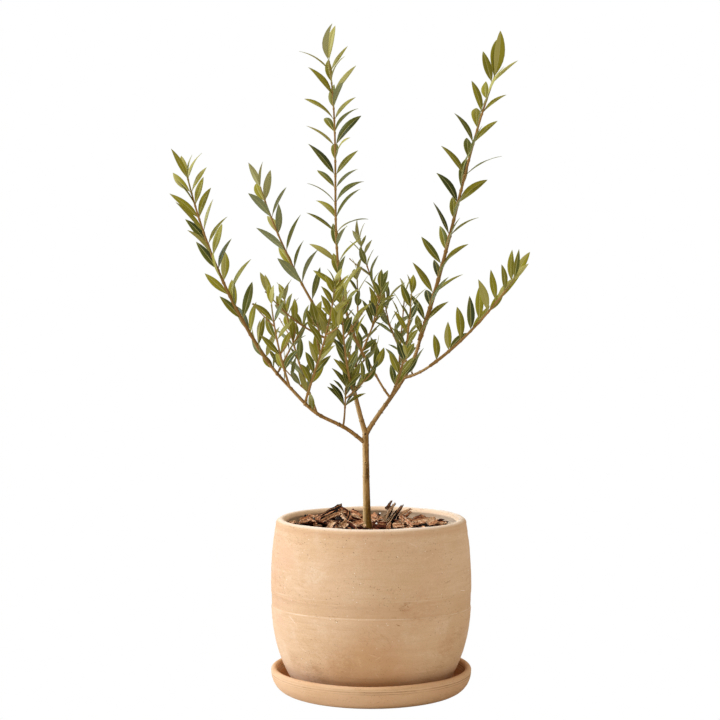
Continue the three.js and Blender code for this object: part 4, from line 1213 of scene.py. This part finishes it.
def arched(leaf, more):
    """The same leaf from root to tip, with its arch deepened by `more` radians."""
    half, bent = leaf["bend"] / 2, (leaf["bend"] + more) / 2
    chord = leaf["way"] * math.cos(half) + leaf["back"] * math.sin(half)
    off = leaf["back"] * math.cos(half) - leaf["way"] * math.sin(half)
    reach = leaf["length"] * math.sin(half) / half
    return dict(
        leaf,
        way=chord * math.cos(bent) - off * math.sin(bent),
        back=off * math.cos(bent) + chord * math.sin(bent),
        bend=2 * bent,
        length=reach * bent / math.sin(bent),
    )


def leaf_mesh(build, leaf, top_slot, under_slot, random):
    """One blade: a petiole, a lance-shaped outline, a sunk midrib and edges that roll under."""
    leaf = arched(leaf, math.radians(mix(*MORE_BEND, random())))
    length = leaf["length"]
    slim = clamp(34 / length, 0.85, 1.25)
    half_width = length * mix(*LEAF_WIDTH, random()) * slim / 2
    fold = mix(0.16, 0.46, random())
    twist = math.radians(mix(-22, 22, random()))
    sickle = mix(-0.05, 0.05, random()) * length
    ripple, ripple_at = mix(0.0, 0.06, random()), 6 * random()
    fullness = mix(0.82, 1.0, random())
    # Painted light and shade: in most leaves one half of the blade takes the next darker tone as painted
    # shade, and on the darkest leaves the next paler tone as a painted highlight.
    painted_light_half_slot = top_slot + (1 if top_slot == 0 else -1) if random() < 0.6 else top_slot
    rows, slots = [], []
    for i in range(LEAF_ROWS + 1):
        t = i / LEAF_ROWS
        t = t - 0.035 * math.sin(2 * math.pi * t)
        turn = leaf["bend"] * t
        centre = arc_point(leaf, t) if i else leaf["root"]
        tangent = leaf["way"] * math.cos(turn) + leaf["back"] * math.sin(turn)
        normal = leaf["way"] * math.sin(turn) - leaf["back"] * math.cos(turn)
        across = np.cross(tangent, normal)
        spin = twist * t
        normal, across = rotate(normal, tangent, spin), rotate(across, tangent, spin)
        centre = centre + across * sickle * t * (1 - t) * 4
        blade = clamp((t - PETIOLE) / (1 - PETIOLE))
        half = half_width * math.sin(math.pi * blade**fullness) ** 0.82 if 0 < blade < 1 else 0.0
        stalk = mix(0.75, 0.5, clamp(t / PETIOLE))
        half = max(half, stalk if t <= PETIOLE * 1.3 else 0.14)
        thick = mix(*THICK, clamp(t / PETIOLE)) * (1 - 0.45 * t)
        rib = min(RIB_HALF * (1.2 - 0.8 * t), 0.45 * half)
        edge = max(half - EDGE_WIDTH, 0.62 * half)
        flutter = ripple * half * math.sin(9 * t + ripple_at)

        def lift(u):
            share = abs(u) / half
            return half * (fold * share - 0.55 * fold * share**3.5) + flutter * u / half

        sunk = 0.25 * thick
        top = [(-half, 0.0), (-edge, thick / 2), (-rib, thick / 2), (0.0, thick / 2 - sunk), (rib, thick / 2),
               (edge, thick / 2), (half, 0.0)]
        under = [(edge, -thick / 2), (rib, -thick / 2), (0.0, -thick / 2 - sunk), (-rib, -thick / 2),
                 (-edge, -thick / 2)]
        rows.append([centre + across * u + normal * (lift(u) + off) for u, off in top + under])
        if i < LEAF_ROWS:
            stem = t < PETIOLE * 0.8
            tops = [EDGE_SLOT, top_slot, RIB_SLOT, RIB_SLOT, painted_light_half_slot, EDGE_SLOT]
            unders = [under_slot, under_slot, RIB_SLOT, RIB_SLOT, under_slot, under_slot]
            slots.append([RIB_SLOT] * 12 if stem else tops + unders)
    build.grid([row[::-1] for row in rows], [marks[:-1][::-1] + marks[-1:] for marks in slots])


def outline_of(leaf):
    """A coarse flat shape of a leaf past its root, to test for crossings."""
    points = []
    side = np.cross(leaf["way"], leaf["back"])
    for t, half in ((0.22, 0.07), (0.5, 0.11), (0.78, 0.08), (0.98, 0.01)):
        centre = arc_point(leaf, t)
        points += [centre - side * half * leaf["length"], centre + side * half * leaf["length"]]
    faces = [(0, 1, 3, 2), (2, 3, 5, 4), (4, 5, 7, 6)]
    return points, faces


class Crowd:
    """What has been placed, for keeping new leaves clear of it."""

    def __init__(self):
        self.leaves = []
        self.limbs = []

    def add_limb(self, name, line, radius_at):
        distances = np.arange(0, line.length, 3.0)
        points = np.array([line.point(d) for d in distances])
        self.limbs.append((name, points, np.array([radius_at(d) for d in distances])))

    def hits(self, leaf, own=()):
        probe = np.array([arc_point(leaf, t) for t in (0.3, 0.5, 0.7, 0.85, 1.0)])
        for name, points, radii in self.limbs:
            if name in own:
                continue
            gaps = np.linalg.norm(points[None] - probe[:, None], axis=2) - radii[None]
            if gaps.min() < 1.2:
                return True
        points, faces = outline_of(leaf)
        tree = None
        middle, size = probe[1], leaf["length"] * 0.55
        for other_middle, other_size, other_tree in self.leaves:
            if np.linalg.norm(middle - other_middle) < size + other_size:
                tree = tree or BVHTree.FromPolygons([tuple(p) for p in points], faces)
                if tree.overlap(other_tree):
                    return True
        return False

    def add_leaf(self, leaf):
        points, faces = outline_of(leaf)
        tree = BVHTree.FromPolygons([tuple(p) for p in points], faces)
        self.leaves.append((arc_point(leaf, 0.5), leaf["length"] * 0.55, tree))


# ---------------------------------------------------------------- limbs and twigs

BARK_VOXEL = 0.00042
TRUNK_SINK = 2.0
STUBS = [dict(parent="bough_leader", at=0.62, heading=20, lean=24, length=9, radius=(1.5, 1.3)),
         dict(parent="bough_leader", at=0.9, heading=330, lean=60, length=5, radius=(1.2, 1.0)),
         dict(parent="bough_right", at=0.47, heading=200, lean=50, length=4, radius=(1.1, 0.9))]
# Scars on the trunk's front: x, height and size.
SCARS = [(-7.0, 333.0, 1.7), (-7.3, 295.5, 1.1)]
SCAR_Y = -4.2
LENTICELS = 520
# How far apart the rings of old leaf pairs stand on each limb.
NODE_STEPS = dict(bough_left=27, bough_right=30, bough_leader=30, bough_third=24, bough_tall=22,
                  bough_far_right=16, trunk=41)
NODE_SWELL = dict(bough=0.42, trunk=0.25)
# The limbs' own radii are restored to the smoothed skin: step along an axis, axis points compared for
# each point of the skin, and the most that is added.
GIRTH = dict(step=1.5, near=8, most=1.5)
# The bark's relief fades from its full height to a share of it: highest point, distance and share.
RELIEF_FADE = dict(top=480, reach=130, least=0.35)


def tube_rows(line, radius_at, sides, step, start=0.0, end=None, shape=None):
    """Rings of points along a line. `shape` scales the radius by distance and angle."""
    end = line.length if end is None else end
    count = max(2, math.ceil((end - start) / step))
    rows = []
    for i in range(count + 1):
        distance = mix(start, end, i / count)
        inside = clamp(distance, 0, line.length)
        way = line.smooth_way(inside)
        side, front = square_to(way)
        centre = line.point(inside) + way * (distance - inside)
        radius = radius_at(inside)
        ring = []
        for k in range(sides):
            angle = 2 * math.pi * k / sides
            r = radius * (shape(distance, angle) if shape else 1)
            ring.append(centre + side * r * math.cos(angle) - front * r * math.sin(angle))
        rows.append(ring)
    return rows


def limb_lines():
    lines = {}
    foot_height = node_box("trunk")[0][2]
    for limb in BOUGHS + MASSES:
        if "parent" in limb:
            parent = lines[limb["parent"]]
            foot = parent.point(limb["at"] * parent.length)
        else:
            foot = (*TRUNK_FOOT, foot_height)
        lines[limb["name"]] = walk(foot, limb)
    return lines


def remeshed(build, voxel):
    """One closed skin round overlapping tubes."""
    mesh = bpy.data.meshes.new("rough")
    mesh.from_pydata((np.concatenate(build.points) * MM).tolist(), [], build.faces)
    holder = bpy.data.objects.new("rough", mesh)
    bpy.context.scene.collection.objects.link(holder)
    modifier = holder.modifiers.new("skin", "REMESH")
    modifier.mode = "VOXEL"
    modifier.voxel_size = voxel
    smooth = holder.modifiers.new("even", "SMOOTH")
    smooth.factor, smooth.iterations = 0.5, 5
    skin = bpy.data.meshes.new_from_object(holder.evaluated_get(bpy.context.evaluated_depsgraph_get()))
    bpy.data.objects.remove(holder)
    return skin


def near_points(tree, centre, reach):
    return [(index, distance) for _, index, distance in tree.find_range(Vector(centre), reach)]


def tree_of(points):
    tree = kdtree.KDTree(len(points))
    for i, point in enumerate(points):
        tree.insert(point, i)
    tree.balance()
    return tree


def missing_girth(points, lines):
    """How far smoothing has left each point of the skin inside its limb's own radius."""
    axis, radii = [], []
    for limb in BOUGHS:
        radius_at = limb_radius(limb)
        for distance in np.arange(0, limb["length"], GIRTH["step"]):
            axis.append(lines[limb["name"]].point(distance))
            radii.append(radius_at(distance))
    tree = tree_of(axis)
    gaps = [min(distance - radii[i] for _, i, distance in tree.find_n(Vector(point), GIRTH["near"]))
            for point in points]
    return np.clip(-np.array(gaps), 0, GIRTH["most"])


def rough_limbs(lines):
    """Overlapping tubes for the trunk, the boughs and the pruning stubs."""
    rough = Build()
    for limb in BOUGHS:
        start = -TRUNK_SINK if limb["name"] == "trunk" else 0.0
        rough.grid(tube_rows(lines[limb["name"]], limb_radius(limb), 24, 2.0, start=start), 0)
    for stub in STUBS:
        rough.grid(tube_rows(short_line(lines, stub), tapered(stub["radius"], stub["length"]), 14, 1.0), 0)
    return rough


def add_lenticels(relief, points, tree):
    random = seeded(77)
    for _ in range(LENTICELS):
        centre = points[int(random() * len(points)) % len(points)]
        wide, tall, high = mix(0.45, 1.1, random()), mix(0.3, 0.55, random()), mix(0.08, 0.2, random())
        for i, _ in near_points(tree, centre, 2.4 * wide):
            off = points[i] - centre
            relief[i] += high * math.exp(-((off[2] / tall) ** 2) - (math.hypot(off[0], off[1]) / wide) ** 2)


def add_scars(relief, tree):
    """Raised rings round sunk scars. Returns the points inside them."""
    marked = set()
    for x, z, size in SCARS:
        for i, distance in near_points(tree, np.array([x, SCAR_Y, z]), 4 * size):
            relief[i] += 0.5 * math.exp(-(((distance - 1.25 * size) / (0.5 * size)) ** 2))
            relief[i] -= 0.8 * math.exp(-((distance / (0.75 * size)) ** 2))
            if distance < 0.8 * size:
                marked.add(i)
    return marked


def add_node_rings(relief, points, tree, lines):
    """A swelling with a crease above it wherever a leaf pair once stood."""
    for name, step in NODE_STEPS.items():
        line = lines[name]
        swell = NODE_SWELL["trunk" if name == "trunk" else "bough"]
        for distance in np.arange(step * 0.6, line.length - 4, step):
            ring, way = line.point(distance), line.way(distance)
            for i, _ in near_points(tree, ring, 6.5):
                along = np.dot(points[i] - ring, way)
                relief[i] += swell * math.exp(-((along / 1.5) ** 2))
                relief[i] -= 0.2 * math.exp(-(((along - 2.0) / 0.6) ** 2))


def limb_piece(lines):
    """The trunk and boughs as one skin with bark relief, lenticels, leaf scars and pruning stubs."""
    skin = remeshed(rough_limbs(lines), BARK_VOXEL)
    count = len(skin.vertices)
    points, normals = np.empty(count * 3), np.empty(count * 3)
    skin.vertices.foreach_get("co", points)
    skin.vertices.foreach_get("normal", normals)
    points, normals = points.reshape(-1, 3) / MM, normals.reshape(-1, 3)
    points += normals * missing_girth(points, lines)[:, None]
    relief = np.array([
        0.1 * wave(x / 1.3, y / 1.3, z / 8) + 0.07 * wave(x / 0.7, y / 0.7, z / 2.4)
        + 0.2 * wave(x / 7, y / 7, z / 16)
        for x, y, z in points
    ])
    fade = (RELIEF_FADE["top"] - points[:, 2]) / RELIEF_FADE["reach"]
    relief *= np.clip(fade, RELIEF_FADE["least"], 1)
    tree = tree_of(points)
    add_lenticels(relief, points, tree)
    marked = add_scars(relief, tree)
    add_node_rings(relief, points, tree, lines)
    points = points + normals * relief[:, None]
    skin.vertices.foreach_set("co", (points * MM).ravel())
    skin.materials.clear()
    skin.materials.append(BARK)
    skin.materials.append(SCAR)
    for polygon in skin.polygons:
        polygon.use_smooth = True
        polygon.material_index = 1 if all(v in marked for v in polygon.vertices) else 0
    skin.update()
    piece = bpy.data.objects.new("bark_limbs", skin)
    bpy.context.scene.collection.objects.link(piece)
    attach(piece, "root")
    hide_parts(*[limb["name"] for limb in BOUGHS])


def twig_mesh(build, line, radius_at, nodes, slots, sides=8, start=0.0):
    """A slim twig, four-sided at heart, that swells at each leaf pair."""
    def shape(distance, angle):
        swell = sum(0.34 * math.exp(-(((distance - n) / 1.3) ** 2)) for n in nodes if abs(distance - n) < 5)
        flat = 0.05 * math.cos(4 * angle)
        return 1 + swell + flat + 0.05 * wave(distance / 3, angle, line.length)

    rows = tube_rows(line, radius_at, sides, 1.9, start=start, shape=shape)
    marks = []
    for i in range(len(rows) - 1):
        t = i / (len(rows) - 1)
        marks.append([slots[0] if t < 0.55 else slots[1] if t < 0.9 else slots[2]] * sides)
    build.grid(rows, marks)


def bud_mesh(build, root, way, size):
    """A small pointed bud."""
    side, front = square_to(way) if abs(way[1]) < 0.99 else (np.array([1.0, 0, 0]), UP)
    rows = []
    for t, r in ((0, 0.5), (0.35, 0.62), (0.7, 0.42), (1, 0.06)):
        ring = [root + way * size * t * 2.1 + (side * math.cos(a) + front * math.sin(a)) * size * r
                for a in np.linspace(0, 2 * math.pi, 7)[:-1]]
        rows.append(ring[::-1])
    build.grid(rows, BUD)


def scaled_radius(radius_at, share):
    return lambda d: share * radius_at(d)


def branch_way(stem, distance, angle, splay):
    """The way of a twig that leaves its stem at an angle about it and a splay from it."""
    way = stem.way(distance)
    side, front = square_to(way)
    outward = side * math.cos(angle) + front * math.sin(angle)
    splay = math.radians(splay)
    return way * math.cos(splay) + outward * math.sin(splay)


def twig_rule(mass, kind, phase):
    """A leafy limb's rule for leaves, as one of its twigs has it."""
    return dict(mass, phase=phase, bare=kind["bare"], spacing=(kind["spacing"],) * 2,
                leaf=mass["leaf"] * kind["leaf"], tip_leaf=mass["tip_leaf"] * kind["leaf"])


def side_twig(mass, stem, k, random):
    """The source's side twig: its line and its leaves' rule."""
    distance = mix(mass["bare"], stem.length * SIDE_TWIG["highest"], (k + random()) / mass["twigs"])
    angle = math.radians(mass["phase"] + SIDE_TWIG["turn"] * k + SIDE_TWIG["turn_spread"] * random())
    way = branch_way(stem, distance, angle, SIDE_TWIG["splay"])
    line = walk_twig(stem.point(distance), way, mix(*SIDE_TWIG["length"], random()))
    return line, twig_rule(mass, SIDE_TWIG, mass["phase"] + SIDE_TWIG["phase"])


def fine_twig(mass, stem, k, random):
    """A twig finer than the source's: its line and its buds' rule."""
    share, more = FINE_TWIG["lowest"]
    lowest = share * mass["bare"] + more
    distance = mix(lowest, stem.length * FINE_TWIG["highest"], (k + random()) / mass["finer"])
    way = branch_way(stem, distance, 2 * math.pi * random(), FINE_TWIG["splay"])
    way = unit(way + FINE_TWIG["lift"] * UP)
    line = walk_twig(stem.point(distance), way, mix(*FINE_TWIG["length"], random()))
    return line, twig_rule(mass, FINE_TWIG, 360 * random())


def grow_limb(mass, lines, twigs, crowd, fine):
    """The wood of one leafy limb. Returns (leaf, limbs it may touch, whether it stays a bud) for each
    place that the rule gives a leaf."""
    random = seeded(mass["seed"])
    stem = lines[mass["name"]]
    leaves, nodes = leaf_pairs(stem, mass, random)
    radius_at = scaled_radius(limb_radius(mass), STEM_GIRTH)
    twig_mesh(twigs, stem, radius_at, nodes, (mass["twig"], PALE, GREEN), 10, start=-3.0)
    own = {mass["name"]}
    placed = [(leaf, own, False) for leaf in leaves]
    # Leaves grow from side twigs. Finer twigs carry buds alone.
    for kind, count, make, draw, slots, sides, bare in (
        (SIDE_TWIG, mass["twigs"], side_twig, random, (PALE, PALE, GREEN), 8, False),
        (FINE_TWIG, mass["finer"], fine_twig, fine, (PALE, GREEN, GREEN), 6, True),
    ):
        for k in range(count):
            line, rule = make(mass, stem, k, draw)
            leaves, nodes = leaf_pairs(line, rule, draw)
            radius_at = tapered(kind["radius"], line.length)
            twig_mesh(twigs, line, radius_at, nodes, slots, sides)
            name = f"{mass['name']}_{make.__name__}{k}"
            crowd.add_limb(name, line, radius_at)
            placed += [(leaf, own | {name}, bare) for leaf in leaves]
    for shoot in (row for row in SHOOTS if row["mass"] == mass["name"]):
        line = short_line(lines, shoot)
        rule = dict(leaf=shoot["leaf"], tip_leaf=shoot["leaf"], turned=shoot["turned"])
        pair = leaf_pair(line, line.length - 1, shoot["phase"], rule, 0.5, fine)
        radius_at = tapered((SHOOT_RADIUS, SHOOT_RADIUS), line.length)
        twig_mesh(twigs, line, radius_at, [line.length - 1], (PALE, GREEN, GREEN), 6)
        placed += [(leaf, own | {shoot["parent"]}, False) for leaf in pair]
    return placed


def settled(leaf, near, crowd):
    """The leaf turned a little, if need be, until it is clear of the rest. None if it never is."""
    for tries in range(LEAF_TRIES + 1):
        if tries:
            leaf = dict(leaf, way=rotate(leaf["way"], leaf["outward"], LEAF_TURN * (-1) ** tries * tries))
            leaf["back"] = unit(leaf["back"] - leaf["way"] * np.dot(leaf["back"], leaf["way"]))
        if not crowd.hits(leaf, near):
            return leaf
    return None


def leaf_slots(leaf, mass, random):
    """The slots of a leaf's upper and under side: paler where it stands high or is young."""
    young = leaf["t"] > TONE["young_from"]
    up = clamp((leaf["root"][2] - TONE["start"]) / TONE["reach"])
    tone = mass["tone"] + TONE["scatter"] * (random() - 0.5) + TONE["height"] * up
    tone += TONE["young"] if young else 0
    top = int(clamp(tone * 4.2, 0, 4))
    return top, UNDER_SLOT + (2 if young else int(random() * 2))


def bough_buds(lines, twigs):
    """Dormant buds in pairs on the bare boughs."""
    for limb in BOUGHS[1:]:
        line, radius_at = lines[limb["name"]], limb_radius(limb)
        random = seeded(int(limb["length"]))
        distance, phase = 16.0, 360 * random()
        while distance < line.length - 6:
            side, front = square_to(line.way(distance))
            for turn in (0, math.pi):
                angle = math.radians(phase) + turn
                outward = side * math.cos(angle) + front * math.sin(angle)
                if random() < 0.6:
                    root = line.point(distance) + outward * (radius_at(distance) - 0.2)
                    bud_mesh(twigs, root, unit(outward + 0.9 * line.way(distance)), mix(0.6, 1.0, random()))
            distance += mix(20, 28, random())
            phase += 90


def grow_masses(lines):
    """Each leafy limb with its side twigs and leaves by the source's rule, then its finer twigs."""
    crowd = Crowd()
    for limb in BOUGHS + MASSES:
        crowd.add_limb(limb["name"], lines[limb["name"]], limb_radius(limb))
    twigs = Build()
    leaf_builds = {}
    for mass in MASSES:
        fine = seeded(mass["seed"] + 1000)
        stem = lines[mass["name"]]
        build = leaf_builds[mass["name"]] = Build()
        for leaf, near, bare in grow_limb(mass, lines, twigs, crowd, fine):
            too_far = np.linalg.norm(stem.points - arc_point(leaf, 1), axis=1).min() > SPACE_RADIUS
            spot = None if bare or leaf["shed"] or too_far else settled(leaf, near, crowd)
            if spot is None:
                bud_mesh(twigs, leaf["root"], unit(leaf["outward"] + 0.8 * stem.way(0)), 0.9)
                continue
            crowd.add_leaf(spot)
            leaf_mesh(build, spot, *leaf_slots(spot, mass, fine), fine)
    bough_buds(lines, twigs)
    make_piece("twigs", twigs, TWIG_MATERIALS)
    for name, build in leaf_builds.items():
        piece = name.replace("foliage", "leaves")
        make_piece(piece, build, LEAF_MATERIALS, [name], sharp=70)


# ---------------------------------------------------------------- floor, light and camera


# The floor's half width and its gap below the part, in metres.
FLOOR_HALF = 30.0
FLOOR_GAP = 0.0002


def ground():
    """A plain floor that the camera sees as even white, without shadows."""
    mesh = bpy.data.meshes.new("floor")
    corners = [(x * FLOOR_HALF, y * FLOOR_HALF, 0) for x, y in ((-1, -1), (1, -1), (1, 1), (-1, 1))]
    mesh.from_pydata(corners, [], [(0, 1, 2, 3)])
    s = Shader("floor", roughness=0.95, specular=0.0)
    path = s.node("ShaderNodeLightPath")
    s.colour(s.mixed(path.outputs["Is Camera Ray"], (0.8, 0.8, 0.8), (0, 0, 0)))
    s.out.inputs["Emission Color"].default_value = (1, 1, 1, 1)
    s.link(path.outputs["Is Camera Ray"], s.out.inputs["Emission Strength"])
    mesh.materials.append(s.material)
    floor = bpy.data.objects.new("floor", mesh)
    bpy.context.scene.collection.objects.link(floor)
    floor.location.z = cad_box[0][2] - FLOOR_GAP


def sun_light(name, toward, strength, spread, colour):
    """Even light from a direction, softened over `spread` degrees."""
    data = bpy.data.lights.new(name, "SUN")
    data.energy, data.angle, data.color = strength, math.radians(spread), colour
    light = bpy.data.objects.new(name, data)
    light.rotation_euler = Vector(toward).to_track_quat("Z", "Y").to_euler()
    bpy.context.scene.collection.objects.link(light)


def studio():
    """A white studio: an even, slightly warm surround and one broad light from the upper left."""
    world = bpy.data.worlds.new("studio")
    bpy.context.scene.world = world
    world.use_nodes = True
    nodes, links = world.node_tree.nodes, world.node_tree.links
    surround = nodes["Background"]
    surround.inputs["Color"].default_value = (1.0, 0.93, 0.82, 1)
    surround.inputs["Strength"].default_value = 0.7
    seen = nodes.new("ShaderNodeBackground")
    seen.inputs["Color"].default_value = (1, 1, 1, 1)
    seen.inputs["Strength"].default_value = 1.0
    path = nodes.new("ShaderNodeLightPath")
    join = nodes.new("ShaderNodeMixShader")
    links.new(path.outputs["Is Camera Ray"], join.inputs["Fac"])
    links.new(surround.outputs["Background"], join.inputs[1])
    links.new(seen.outputs["Background"], join.inputs[2])
    links.new(join.outputs["Shader"], nodes["World Output"].inputs["Surface"])
    sun_light("key", (-1.0, -0.08, 0.72), 3.0, 38, (0.92, 1.0, 1.12))
    sun_light("edge", (-1.0, 0.5, 0.25), 0.6, 20, (0.6, 1.0, 1.7))


def camera():
    data = bpy.data.cameras.new("camera")
    data.lens, data.sensor_width = 87.0, 36.0
    data.clip_end = 60
    view = bpy.data.objects.new("camera", data)
    view.location = (0, -2.25, 0.5174)
    view.rotation_euler = (math.radians(90 - 2.255), 0, math.radians(0.369))
    bpy.context.scene.collection.objects.link(view)
    bpy.context.scene.camera = view


camera()
studio()
ground()
saucer_piece()
pot_piece()
bed_piece()
chip_pieces()
LINES = limb_lines()
limb_piece(LINES)
grow_masses(LINES)
bpy.context.scene.view_settings.view_transform = "Standard"
